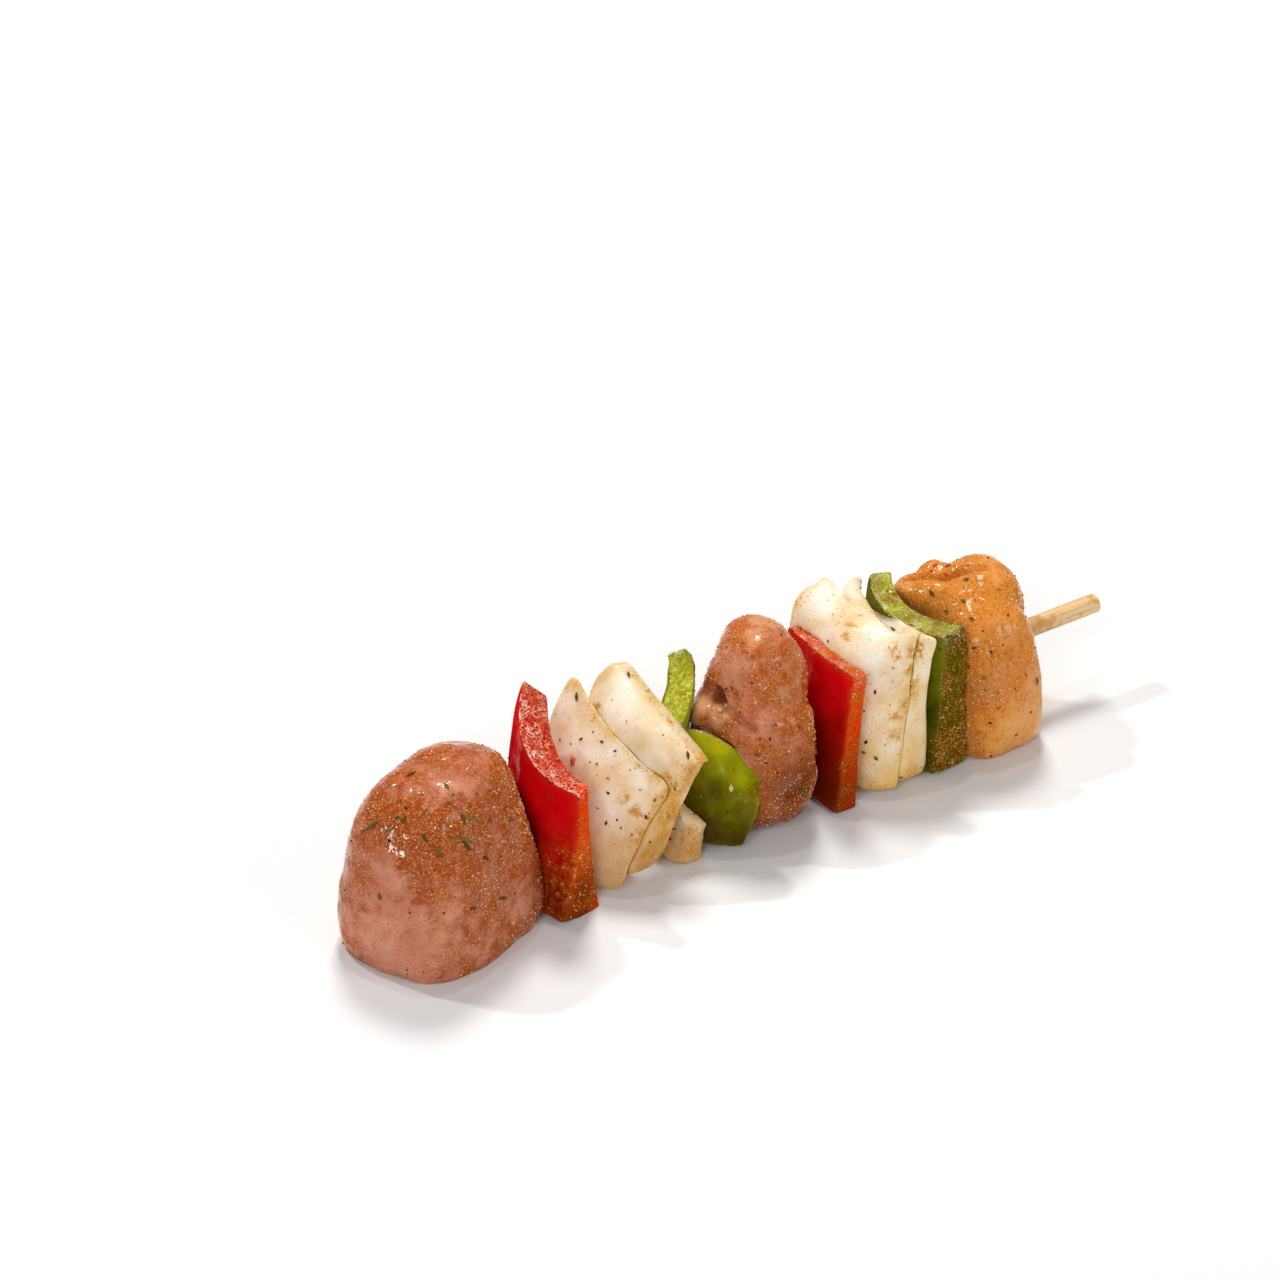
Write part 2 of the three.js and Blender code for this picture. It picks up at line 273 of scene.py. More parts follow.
def bamboo():
    material, tree, surface = new_material(
        "bamboo", Roughness=0.6, Specular_IOR_Level=0.35, Subsurface_Weight=0.08, Subsurface_Scale=0.001)
    place = object_place(tree)
    fibres = grain(stretched(place, (0.035, 1, 1)), 0.35, 4.0, 0.65)
    bands = grain(stretched(place, (0.035, 1, 1)), 1.6)
    colour = ramp(
        plus(times(fibres, 0.6), times(bands, 0.4)), (0.32, 0.42, 0.22, 0.07), (0.43, 0.68, 0.43, 0.19),
        (0.55, 0.80, 0.57, 0.30), (0.7, 0.88, 0.70, 0.43))
    x = add(tree, "ShaderNodeSeparateXYZ", {0: place})["X"]
    stain_start, end_x = (float(placed((spot, 0, 0))[0]) for spot in (STAIN_START, STICK_END))
    near_meat = span(x, stain_start, stain_start + STAIN_LENGTH, 1.0, 0.0)
    blotch = plus(grain(place, 3.2, 3.0, 0.6), times(near_meat, 0.16))
    stained = blend(times(span(blotch, 0.55, 0.68), 0.75), colour, (0.56, 0.26, 0.03, 1))
    end_grain = times(span(x, end_x - 0.0004, end_x - 0.0001), 0.55)
    feed(surface, Base_Color=blend(end_grain, stained, (0.87, 0.63, 0.33, 1)),
         Roughness=span(fibres, 0.3, 0.7, 0.72, 0.48),
         Normal=relief(plus(fibres, times(grain(place, 0.25, 1.0), 0.4)), 0.12))
    return material


def finish_piece(piece, material, node=None):
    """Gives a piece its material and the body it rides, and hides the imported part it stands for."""
    piece.data.materials.append(material)
    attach(piece, "root")
    if node:
        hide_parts(node)
    return piece


finish_piece(make_stick(), bamboo(), "stick")

# ---------------------------------------------------------------------------------------------
# Peppers: squares cut from sweet pepper, a curved wall of crisp flesh under a thin waxy skin.
# They are pierced near the middle, skin towards the viewer, and dusted with spice where cut.

SKIN_SIDE_CELLS, WALL_CELLS = 72, 10
RIM_SCALE, TINY = 14.0, 1e-6
RIM_WAVES, FACE_WAVES, SPICE_CLOUDS, SPICE_CLOTS = 4.0, 6.0, 3.5, 1.1
COLUMNS = ("far", "middle", "near")

# A leaf is a curved wall, given by nine places on its outer face: its far edge, its middle and its
# near edge, each from top to bottom, with the wall's thickness there as the fourth number. edge and
# corner are how round it is there, waves how uneven, and dust how much spice lies on the near, top
# and far cuts and on the faces. square is how far its cuts follow the stick's direction rather than
# that of its wall, and sink how much lower its top cut is on the inner face, from far to near. A
# bite is the edge that is torn, and where, how wide and how deep. thick gives where spice has
# clotted and its reach, and the painted shade list gives where shade is painted on as a darker
# colour, with its reach and share.

RED_PEPPER_1 = dict(
    far=((52.8, 14.2, 46.0, 5.5), (50.2, 16, 31, 5.5), (46, 13, 2.5, 5)),
    middle=((44.9, 1.5, 37.0, 7.5), (43.2, 0, 19, 6.5), (41.5, -1, 1.5, 6)),
    near=((48.8, -13.4, 32.5, 4.2), (47.8, -14.3, 19, 6), (43, -15.3, 1.5, 13)),
    edge=0.5, corner=0.9, waves=0.3, seed=1, dust=(0.3, 0.12, 0.3, 0.0), square=0.3, sink=(4, 1, 0),
    thick=[(49, -14, 8, 7), (50, -14, 15, 2)], dark=[(47, -15, 0, 9, 0.85), (50, -15, 6, 7, 0.85)])

RED_PEPPER_2 = dict(
    far=((123.4, 14.4, 33.6, 4), (119.5, 14, 17, 4.5), (116.5, 13, 1, 5)),
    middle=((121.8, 1, 34.6, 4), (118.6, 0, 18, 4.5), (116.2, -1, 0.8, 5)),
    near=((122.6, -12.6, 34.8, 4.2), (119.2, -13.6, 17, 5), (116.7, -14.5, 1, 6)),
    edge=0.5, corner=1.0, waves=0.25, seed=2, dust=(0.6, 0.65, 0.6, 0.0),
    dark=[(118.5, -15, 4, 15, 0.7)])

GREEN_PEPPER_1 = (
    dict(far=((84, 3, 27, 5), (80.5, 1, 17, 5), (80, -4, 3, 5)),
         middle=((91.5, -4.5, 26.2, 5), (87.6, -10, 16, 5), (86, -11, 2.5, 5)),
         near=((97.1, -14.3, 19.4, 4.5), (95.6, -14.8, 11, 4.5), (91.5, -14.5, 2.5, 4.5)),
         edge=0.9, corner=1.6, waves=0.3, seed=3, dust=(0.3, 0.3, 0.3, 0.15),
         dark=[(90, -14, 0, 9, 0.8), (84, -8, 6, 9, 0.9), (85.5, -11, 17, 6, 0.85)]),
    dict(far=((96.0, 16, 34, 4), (92.0, 16, 25, 5), (87, 15, 14, 5)),
         middle=((92.0, 14, 38.5, 4.2), (88.8, 11.5, 30.5, 6), (84, 8, 18, 5)),
         near=((88.4, 11, 40.3, 4.5), (85.6, 7.2, 36.2, 6), (77.0, 1.0, 29.0, 6)),
         edge=0.6, corner=1.0, waves=0.3, seed=4, dust=(0.15, 0.2, 0.3, 0.05)),
)

GREEN_PEPPER_2 = dict(
    far=((146.6, 15.6, 38.8, 5.5), (143.5, 15.5, 20, 6), (142, 14, 2, 7)),
    middle=((142.3, 3, 36.0, 6.2), (141.5, 0, 18, 6.8), (140, -1, 1, 7.5)),
    near=((147.0, -13.3, 36.6, 7.2), (145.8, -14.2, 20, 8.2), (143, -15.5, 1.5, 10.5)),
    edge=0.9, corner=1.4, waves=0.35, seed=5, dust=(0.85, 0.55, 0.5, 0.02), square=1.5,
    thick=[(148.1, -14.4, 5.1, 3), (151.8, -13.7, 8.5, 3)])


def box_lattice(cells):
    """The skin of a box of cells: points from -1 to 1 on each axis, closer near its edges."""
    index, points, faces = {}, [], []

    def corner(*key):
        if key not in index:
            index[key] = len(points)
            points.append([2 * k / n - 1 for k, n in zip(key, cells)])
        return index[key]

    for axis in range(3):
        first, second = (axis + 1) % 3, (axis + 2) % 3
        for end in (0, cells[axis]):
            for i in range(cells[first]):
                for j in range(cells[second]):
                    quad = []
                    for di, dj in ((0, 0), (1, 0), (1, 1), (0, 1)):
                        key = [0, 0, 0]
                        key[axis], key[first], key[second] = end, i + di, j + dj
                        quad.append(corner(*key))
                    faces.append(quad if end else quad[::-1])
    points = np.array(points)
    return np.sign(points) * (1 - (1 - np.abs(points)) ** 1.25), faces


def waves_at(points, size, seed):
    """Smooth noise from about -1 to 1 at each point, with features of that size in millimetres."""
    offset = Vector((seed * 17.3, seed * 5.1, seed * 29.7))
    return np.array([noise.noise(Vector(point) / size + offset) for point in points])


def through_three(places, u):
    """The smooth run through values at 1, 0 and -1, and how fast it changes there."""
    first, middle, last = places
    u = u[:, None]
    run = first * u * (u + 1) / 2 + middle * (1 - u * u) + last * u * (u - 1) / 2
    return run, first * (u + 0.5) - 2 * middle * u + last * (u - 0.5)


def leaf_face(leaf, s, t):
    """Places on the outer face, the direction into the wall there, and the wall's thickness."""
    columns = [through_three(np.array(leaf[name], dtype=float), t) for name in COLUMNS]
    place, along_s = through_three([column[0] for column in columns], s)
    along_t = through_three([column[1] for column in columns], s)[0]
    inward = np.cross(along_s[:, :3], along_t[:, :3])
    inward /= np.linalg.norm(inward, axis=1)[:, None]
    inward += np.array([leaf.get("square", 0), 0, 0])
    inward /= np.linalg.norm(inward, axis=1)[:, None]
    return place[:, :3], inward, place[:, 3]


def nearness(points, middle, reach, power=2):
    """1 at a place, fading with the distance from it."""
    return np.exp(-(np.linalg.norm(points - np.array(middle), axis=1) / reach) ** power)


def strongest(points, spots, power=2):
    """The greatest share that any spot has at each point. A spot is a place, its reach and its share."""
    found = np.zeros(len(points))
    for *middle, reach, share in spots:
        found = np.maximum(found, share * nearness(points, middle, reach, power))
    return found


def leaf_shell(leaf):
    """The closed skin of one leaf, its quads, and how each point lies on it."""
    unit, faces = box_lattice((SKIN_SIDE_CELLS, SKIN_SIDE_CELLS, WALL_CELLS))
    s, t, c = unit.T
    wall = float(np.mean([[place[3] for place in leaf[name]] for name in COLUMNS]))
    ring = np.maximum(np.maximum(np.abs(s), np.abs(t)), TINY)

    # The outline's corners are rounded on each ring alike.
    radius = leaf["corner"]
    outline = np.stack([np.abs(s), np.abs(t)], 1) / ring[:, None] * RIM_SCALE
    past = np.maximum(outline - (RIM_SCALE - radius), 0)
    reach = np.linalg.norm(past, axis=1)
    bent = RIM_SCALE - radius + past * (radius / np.maximum(reach, TINY))[:, None]
    rounded = np.where((past > 0).all(1)[:, None], bent, outline)

    # Its edge is rounded between the face and the cut.
    edge = min(leaf["edge"], wall * 0.45)
    inset = (1 - ring) * RIM_SCALE
    under = (1 - np.abs(c)) * wall / 2
    to_edge = np.stack([np.minimum(inset - edge, 0), np.minimum(under - edge, 0)], 1)
    length = np.maximum(np.linalg.norm(to_edge, axis=1), TINY)
    near_edge = (to_edge < 0).all(1)
    bevel = np.stack([np.maximum(inset, edge), np.maximum(under, edge)], 1) + to_edge / length[:, None] * edge
    inset = np.where(near_edge, bevel[:, 0], inset)
    under = np.where(near_edge, bevel[:, 1], under)
    cut = np.where(near_edge, -to_edge[:, 0] / length, (inset <= TINY).astype(float))

    scale = 1 - inset / RIM_SCALE
    s = np.sign(s) * rounded[:, 0] / RIM_SCALE * scale
    t = np.sign(t) * rounded[:, 1] / RIM_SCALE * scale
    c = np.sign(c) * (1 - under / (wall / 2))
    for side, middle, width, depth in leaf.get("bites", ()):
        out, by = (s, t) if side == "far" else (t, s)
        torn = np.exp(-np.abs((by - middle) / width) ** 1.5)
        drawn = out - depth * torn * np.clip((out - 0.2) / 0.8, 0, 1) ** 2
        s, t = (drawn, t) if side == "far" else (s, drawn)

    # The rim is a little uneven, and so are the faces.
    seed, waves = leaf["seed"], leaf["waves"]
    flat = np.stack([c * wall * 0.3, s * RIM_SCALE, t * RIM_SCALE], 1)
    more_s, more_t = (
        waves / RIM_SCALE * waves_at(flat, RIM_WAVES, seed + shift) * scale ** 4 for shift in (20, 40))
    place, inward, thick = leaf_face(leaf, s + more_s, t + more_t)
    depth = (1 + c) / 2
    points = place + inward * (thick * (1 + c) / 2 + waves * waves_at(flat, FACE_WAVES, seed))[:, None]
    sink = through_three([np.array([drop]) for drop in leaf.get("sink", (0, 0, 0))], s)[0][:, 0]
    points[:, 2] -= sink * (1 + c) / 2 * np.clip(t, 0, 1) ** 2

    near, top, far, faces_dust = leaf["dust"]
    sides = ((near, -s), (top, t), (far, s), (0.5, -t))
    on_cut = np.maximum.reduce([dust * np.clip((toward - 0.8) / 0.15, 0, 1) for dust, toward in sides])
    spice = cut * on_cut + (1 - cut) * (faces_dust + 0.5 * (np.exp(-inset / 1.2) * on_cut))
    spice = spice * (0.75 + 0.9 * waves_at(points, SPICE_CLOUDS, seed + 60))
    clots = 0.5 + 1.1 * waves_at(points, SPICE_CLOTS, seed + 80)
    for *middle, reach in leaf.get("thick", ()):
        spice += clots * nearness(points, middle, 1.4 * reach)
    # The shade share is painted shade, darkest at the listed places.
    return points, faces, {
        "depth": depth, "cut": cut, "across": s, "upward": t, "spice": np.clip(spice, 0, 1),
        "dark": strongest(points, leaf.get("dark", ())), "rim": np.exp(-inset / 0.8)}


def press(points, neighbour, side, gap=0.15):
    """Moves the points that a neighbour would cover, along the stick, on to its nearer face."""
    start = 400.0 if side < 0 else -200.0
    moved = points.copy()
    for i, (x, y, z) in enumerate(points):
        place = neighbour.ray_cast(Vector((start, y, z)), Vector((side, 0, 0)))[0]
        if place is not None and (x - place.x) * side > -gap:
            moved[i, 0] = place.x - side * gap
    return moved


def give(piece, values):
    """Writes each array of values on the points of a piece as an attribute of that name."""
    for name, numbers in values.items():
        held = piece.data.attributes.new(name, "FLOAT", "POINT")
        held.data.foreach_set("value", np.asarray(numbers, dtype=np.float32))


def join_shells(shells):
    """Several closed skins as one."""
    points, faces, values, start = [], [], {}, 0
    for shell_points, shell_faces, shell_values in shells:
        points.append(shell_points)
        faces += [[i + start for i in face] for face in shell_faces]
        start += len(shell_points)
        for name, numbers in shell_values.items():
            values.setdefault(name, []).append(numbers)
    return np.concatenate(points), faces, {name: np.concatenate(parts) for name, parts in values.items()}


def attribute(tree, name):
    return add(tree, "ShaderNodeAttribute", {}, attribute_name=name)["Fac"]


def minus(first, second, clamp=False):
    return calc("SUBTRACT", first, second, clamp)


def between(factor, first, second):
    """Two numbers mixed by a factor."""
    return add(factor.id_data, "ShaderNodeMix", {0: factor, 2: first, 3: second}, data_type="FLOAT")[0]


def tree_group(name, inputs, outputs, kind="ShaderNodeTree"):
    """An empty group of nodes with those named sockets: its tree, what it is given and its output node."""
    tree = bpy.data.node_groups.new(name, kind)
    for socket, of, value in inputs:
        made = tree.interface.new_socket(socket, in_out="INPUT", socket_type="NodeSocket" + of)
        if value is not None:
            made.default_value = value
    for socket, of in outputs:
        tree.interface.new_socket(socket, in_out="OUTPUT", socket_type="NodeSocket" + of)
    return tree, tree.nodes.new("NodeGroupInput").outputs, tree.nodes.new("NodeGroupOutput")


def cells(place, size):
    """Grains that many millimetres across: how far a place is from one's middle, and three chances."""
    made = add(place.id_data, "ShaderNodeTexVoronoi", {"Vector": place, "Scale": 1 / (size * MM)})
    return made["Distance"], add(place.id_data, "ShaderNodeSeparateColor", {0: made["Color"]})


COARSE_GRAIN, FINE_GRAIN = 0.75, 0.34


def make_spice_group():
    """Ground spice stuck in oily marinade: cells of grain colour, thickest where Amount is 1."""
    tree, given, out = tree_group(
        "ground_spice",
        [("Vector", "Vector", None), ("Amount", "Float", 0.5), ("Under", "Color", (0.5, 0.3, 0.2, 1)),
         ("Oil", "Color", (0.55, 0.2, 0.05, 1))],
        [("Color", "Color"), ("Cover", "Float"), ("Height", "Float")])
    place = given["Vector"]
    coarse, coarse_chance = cells(place, COARSE_GRAIN)
    fine, fine_chance = cells(place, FINE_GRAIN)
    level = times(given["Amount"], span(grain(place, 2.6, 3.0, 0.6), 0.3, 0.7, 0.75, 1.6))
    film = span(level, 0.0, 1.1, 0.0, 0.94)
    oiled = blend(film, given["Under"], given["Oil"])
    fine_cover = span(minus(level, fine_chance[0]), 0.0, 0.12)
    pale = times(fine_cover, span(fine_chance[1], 0.72, 0.76, 0.0, 0.42))
    brown = times(fine_cover, span(fine_chance[2], 0.78, 0.83, 0.0, 0.4))
    dusted = blend(brown, blend(pale, oiled, (0.80, 0.33, 0.05, 1)), (0.20, 0.04, 0.004, 1))
    coarse_cover = span(minus(times(level, 0.45), coarse_chance[0]), 0.0, 0.03)
    coarse_shape = minus(1.0, times(coarse, 2.0), clamp=True)
    fine_shape = minus(1.0, times(fine, 1.5), clamp=True)
    grains = times(coarse_cover, span(coarse_shape, 0.25, 0.45))
    coarse_colour = ramp(
        coarse_chance[1], (0.0, 0.28, 0.06, 0.006), (0.5, 0.62, 0.20, 0.03), (1.0, 0.92, 0.52, 0.15))
    feed(out, Color=blend(times(grains, 0.6), dusted, coarse_colour), Cover=film,
         Height=plus(times(grains, coarse_shape), times(fine_cover, fine_shape, 0.3)))
    return tree


def make_wet_group():
    """Patches of wet film: smoother and glossier in some places than in others."""
    tree, given, out = tree_group(
        "wet_film", [("Vector", "Vector", None), ("Dry", "Float", 0.45), ("Wet", "Float", 0.15)],
        [("Roughness", "Float"), ("Coat", "Float"), ("Height", "Float")])
    wet = span(grain(given["Vector"], 5.0, 3.0, 0.6), 0.42, 0.6)
    ripples = grain(given["Vector"], 0.7, 3.0, 0.6, 0.6)
    feed(out, Roughness=plus(between(wet, given["Dry"], given["Wet"]), times(ripples, 0.08)),
         Coat=span(wet, 0, 1, 0.05, 0.9), Height=ripples)
    return tree


spice_group, wet_group = make_spice_group(), make_wet_group()


def use_group(tree, group, **inputs):
    return add(tree, "ShaderNodeGroup", inputs, node_tree=group)


def pepper(name, skin, flesh, near_flesh, inside, rim, oil, painted_glint, shade_colour):
    """Waxy skin painted darker lower down as shade, grainy wet flesh with painted glints where it is cut, and
    a pale inner wall.
    """
    material, tree, surface = new_material(
        name, Specular_IOR_Level=0.0, Subsurface_Weight=0.06, Subsurface_Scale=0.0012, Coat_Roughness=0.07,
        Coat_IOR=1.4)
    place = object_place(tree)
    depth, cut, upward, across, at_rim = (
        attribute(tree, held) for held in ("depth", "cut", "upward", "across", "rim"))
    on_cut = span(cut, 0.35, 0.75)
    off_cut = minus(1.0, on_cut)
    mottle = times(grain(place, 7.0, 3.0, 0.55), 0.5)
    # The skin is painted lighter at the top of the leaf and darker at its bottom, as shade.
    skin_with_painted_shade = ramp(plus(mottle, span(upward, -1.0, 1.0, 0.05, 0.45)), *skin)
    edged = blend(times(at_rim, 0.7), skin_with_painted_shade, rim)
    face_colour = blend(span(depth, 0.45, 0.55), edged, ramp(grain(place, 2.0, 3.0, 0.6), *inside))
    streaks = grain(place, 0.8, 3.0, 0.7, 0.8)
    near_cut = span(across, -0.96, -0.9, 1.0, 0.0)
    flesh_colour = blend(near_cut, ramp(streaks, *flesh), ramp(streaks, *near_flesh))
    cut_colour = blend(times(span(depth, 0.02, 0.14, 1.0, 0.0), 0.85), flesh_colour, skin_with_painted_shade)
    # Pale flecks on the top cut, and dashes along its rim, are painted glints.
    painted_glint_spots = times(
        on_cut, span(upward, 0.8, 0.95), span(grain(place, 0.9, 1.0, 0.5, 2.2), 0.54, 0.575),
        span(grain(place, 3.0), 0.38, 0.56, 0.15, 1.0), span(depth, 0.1, 0.8, 0.95, 0.5))
    painted_glint_edge = times(span(at_rim, 0.7, 0.9), span(depth, 0.0, 0.08, 1.0, 0.0), span(upward, 0.8, 0.92),
                     span(grain(place, 2.6), 0.50, 0.56))
    bare = blend(calc("MAXIMUM", painted_glint_spots, painted_glint_edge), blend(on_cut, face_colour, cut_colour), painted_glint)
    dusted = use_group(tree, spice_group, Vector=place, Amount=attribute(tree, "spice"), Under=bare, Oil=oil)
    wet = use_group(tree, wet_group, Vector=place, Dry=0.22, Wet=0.08)
    coat = plus(times(off_cut, span(across, 0.3, 0.7, 0.4, 0.02)),
                times(on_cut, span(upward, 0.8, 0.95, 0.06, 1.0)))
    juice = times(on_cut, span(upward, 0.8, 0.95, 0.2, 1.0),
                  plus(times(grain(place, 1.5, 1.0, 0.4, 1.6), 1.8), times(streaks, 0.4)))
    veins = times(span(depth, 0.6, 0.9), off_cut, grain(place, 1.8, 2.0, 0.5, 0.5))
    height = plus(plus(juice, veins), plus(times(grain(place, 3.0), 0.45), times(dusted["Height"], 0.7)))
    # Shade is painted on by mixing towards the shade colour where the shade share is set.
    feed(surface, Base_Color=blend(attribute(tree, "dark"), dusted["Color"], shade_colour),
         Roughness=plus(between(on_cut, 0.2, wet["Roughness"]), times(dusted["Cover"], 0.15)),
         Coat_Weight=times(wet["Coat"], coat), Normal=relief(height, 0.3))
    return material


red_flesh = pepper(
    "red_pepper",
    skin=[(0.25, 0.15, 0.0, 0.0), (0.45, 0.37, 0.0, 0.002), (0.65, 0.72, 0.002, 0.006)],
    flesh=[(0.34, 0.22, 0.0, 0.0), (0.5, 0.52, 0.010, 0.001), (0.66, 0.85, 0.12, 0.03)],
    near_flesh=[(0.3, 0.62, 0.012, 0.001), (0.5, 0.80, 0.04, 0.001), (0.7, 0.90, 0.10, 0.006)],
    inside=[(0.3, 0.58, 0.05, 0.02), (0.7, 0.76, 0.15, 0.06)],
    rim=(0.80, 0.012, 0.006, 1), oil=(0.62, 0.11, 0.008, 1), painted_glint=(1.0, 0.74, 0.58, 1),
    shade_colour=(0.11, 0.02, 0.001, 1))

GREEN_FLESH = [(0.34, 0.24, 0.26, 0.004), (0.5, 0.42, 0.43, 0.02), (0.66, 0.70, 0.71, 0.18)]
GREEN_INSIDE = [(0.3, 0.20, 0.22, 0.01), (0.7, 0.38, 0.40, 0.05)]
# The colour of the painted shade on the green peppers.
GREEN_SHADE = (0.035, 0.016, 0.001, 1)
green_flesh = pepper(
    "green_pepper",
    skin=[(0.25, 0.03, 0.026, 0.0), (0.48, 0.14, 0.14, 0.0), (0.64, 0.43, 0.45, 0.003)],
    flesh=GREEN_FLESH, near_flesh=GREEN_FLESH, inside=GREEN_INSIDE,
    rim=(0.52, 0.50, 0.07, 1), oil=(0.32, 0.14, 0.006, 1), painted_glint=(0.93, 0.96, 0.72, 1), shade_colour=GREEN_SHADE)
# The second green pepper's material is darker all over than the first's.
darker_green_flesh = pepper(
    "green_pepper_steeped",
    skin=[(0.25, 0.017, 0.021, 0.0), (0.45, 0.037, 0.041, 0.0), (0.66, 0.15, 0.17, 0.002)],
    near_flesh=[(0.3, 0.03, 0.03, 0.0), (0.5, 0.075, 0.065, 0.001), (0.7, 0.24, 0.19, 0.01)],
    flesh=GREEN_FLESH, inside=GREEN_INSIDE,
    rim=(0.20, 0.22, 0.01, 1), oil=(0.13, 0.065, 0.002, 1), painted_glint=(0.80, 0.85, 0.45, 1), shade_colour=GREEN_SHADE)

skins = {}


def keep_skin(name, points, faces):
    """Remembers where a piece's skin is, for the pieces pressed against it."""
    skins[name] = BVHTree.FromPolygons([tuple(p) for p in points], faces)


def add_leaf(node, leaves, material, pressed=()):
    """A piece made of one or two leaves, pressed against the neighbours named with their side."""
    points, faces, values = join_shells([leaf_shell(leaf) for leaf in leaves])
    for neighbour, side in pressed:
        points = press(points, skins[neighbour], side)
    points[:, 2] = np.maximum(points[:, 2], 0.0)
    keep_skin(node, points, faces)
    piece = plain_mesh(node + "_cut", points, faces)
    give(piece, values)
    return finish_piece(piece, material, node)


food = [
    add_leaf("red_pepper_1", [RED_PEPPER_1], red_flesh),
    add_leaf("red_pepper_2", [RED_PEPPER_2], red_flesh),
    add_leaf("green_pepper_1", GREEN_PEPPER_1, green_flesh),
    add_leaf("green_pepper_2", [GREEN_PEPPER_2], darker_green_flesh)]

# ---------------------------------------------------------------------------------------------
# Onion: leaves pulled from two wedges of a white onion, each a few millimetres of translucent
# flesh under a fine membrane with veins from root to tip. They sit nested, one behind another.

ONION_1_OUTER = dict(
    far=((67.0, 16.3, 41.0, 2.0), (60.2, 17, 28, 3.2), (57, 15.5, 10, 3.2)),
    middle=((68.0, 1.5, 32.4, 1.8), (56.6, 0, 18.5, 3.6), (54, 0, 2.5, 3.4)),
    near=((73.6, -13, 24.8, 2.4), (65.4, -13.4, 14.2, 3.4), (60.3, -12.5, 2, 3.4)),
    edge=0.6, corner=2.0, waves=0.25, seed=6, dust=(0.5, 0.35, 0.4, 0.07),
    thick=[(64.7, -7.7, 22.1, 0.8), (65.5, -10.4, 19.7, 0.9), (70.5, -12.8, 22.3, 0.9),
           (67.8, -12.9, 18.1, 0.9), (65.2, -12.9, 13.7, 1.2), (70.1, -5.5, 28.4, 0.8),
           (71.6, -9.2, 26.5, 0.9)],
    dark=[(61, -13, 4, 13, 0.45), (64, -8, 20, 13, 0.1)])

ONION_1_MIDDLE = dict(
    far=((75.6, 13, 42.4, 4), (70.8, 16.5, 32.8, 5), (66, 15, 12, 6)),
    middle=((78.3, 0.5, 36.2, 4), (68.6, 1.5, 31.0, 6), (61.5, 0, 6, 7)),
    near=((81.4, -12.6, 28, 4), (74.0, -13.2, 24, 7), (62.5, -12.5, 3, 9)),
    edge=0.9, corner=3.2, waves=0.25, seed=7, dust=(0.55, 0.25, 0.4, 0.03), square=2,
    thick=[(73.1, -10.8, 26, 1.0), (73.7, -12.8, 23.7, 1.2), (69.4, 10.5, 33.8, 0.8),
           (83.7, -10.8, 27.5, 1.4), (79.8, -2.9, 33.8, 0.8)],
    dark=[(68, -13, 6, 12, 0.5), (74, -6, 30, 13, 0.14)])

ONION_1_INNER = dict(
    far=((84, 12, 27, 4), (79, 13, 17, 5), (76, 13, 2, 5)),
    middle=((81, 0, 17, 4), (77, 0, 10, 5), (75, 0, 2, 5)),
    near=((79.0, -11, 11, 6), (78.2, -12, 7, 7), (76, -12.5, 1.0, 8)),
    edge=1.6, corner=5.0, waves=0.3, seed=8, dust=(0.5, 0.4, 0.4, 0.3),
    dark=[(78, -12, 3, 9, 0.5)])

ONION_2_OUTER = dict(
    far=((146.0, 16.5, 37.4, 3), (127.2, 18, 37.6, 4), (127.5, 16, 2, 4)),
    middle=((139.4, 2, 36.6, 3), (126.3, -3, 30, 4), (124.8, -5, 1.5, 4)),
    near=((140.0, -10.8, 38.4, 3), (137.4, -13.4, 24, 3.5), (132.8, -15.5, 2, 3.5)),
    edge=0.9, corner=0.9, waves=0.35, seed=9, dust=(0.25, 0.35, 0.3, 0.1),
    bites=(("far", 0.74, 0.1, 0.5), ("far", 0.36, 0.2, 0.08), ("top", 0.7, 0.22, 0.06)),
    thick=[(139.1, -11.2, 34.7, 0.9), (138.8, -11.6, 32.9, 0.9), (138.2, -12.2, 30.7, 0.9),
           (136, -13.2, 22.7, 0.9), (134, -13, 20.6, 1.0), (133.2, -13.6, 15.8, 1.1),
           (136.5, -7.6, 35.2, 0.7), (136.2, -9.5, 33.5, 0.7), (134.5, 4, 37.9, 0.7),
           (131.7, 2.3, 37.1, 0.8), (129.3, 0.8, 35.7, 0.7)])

ONION_2_INNER = dict(
    far=((143, 14, 33, 5), (134, 14, 22, 8), (131, 14, 2, 9)),
    middle=((143.2, 0, 36.0, 5), (135, 0, 22, 8), (132, 0, 2, 9)),
    near=((141.4, -11.6, 38.2, 4), (137.4, -13.4, 24, 6), (133.8, -14.6, 2, 11)),
    edge=0.9, corner=2.0, waves=0.35, seed=10, dust=(0.1, 0.15, 0.3, 0.03),
    thick=[(138.3, -12.5, 28.2, 0.9), (137.9, -12.8, 25.8, 1.0), (140.6, -11, 35.9, 0.9),
           (139.9, -11.9, 34, 0.9)])


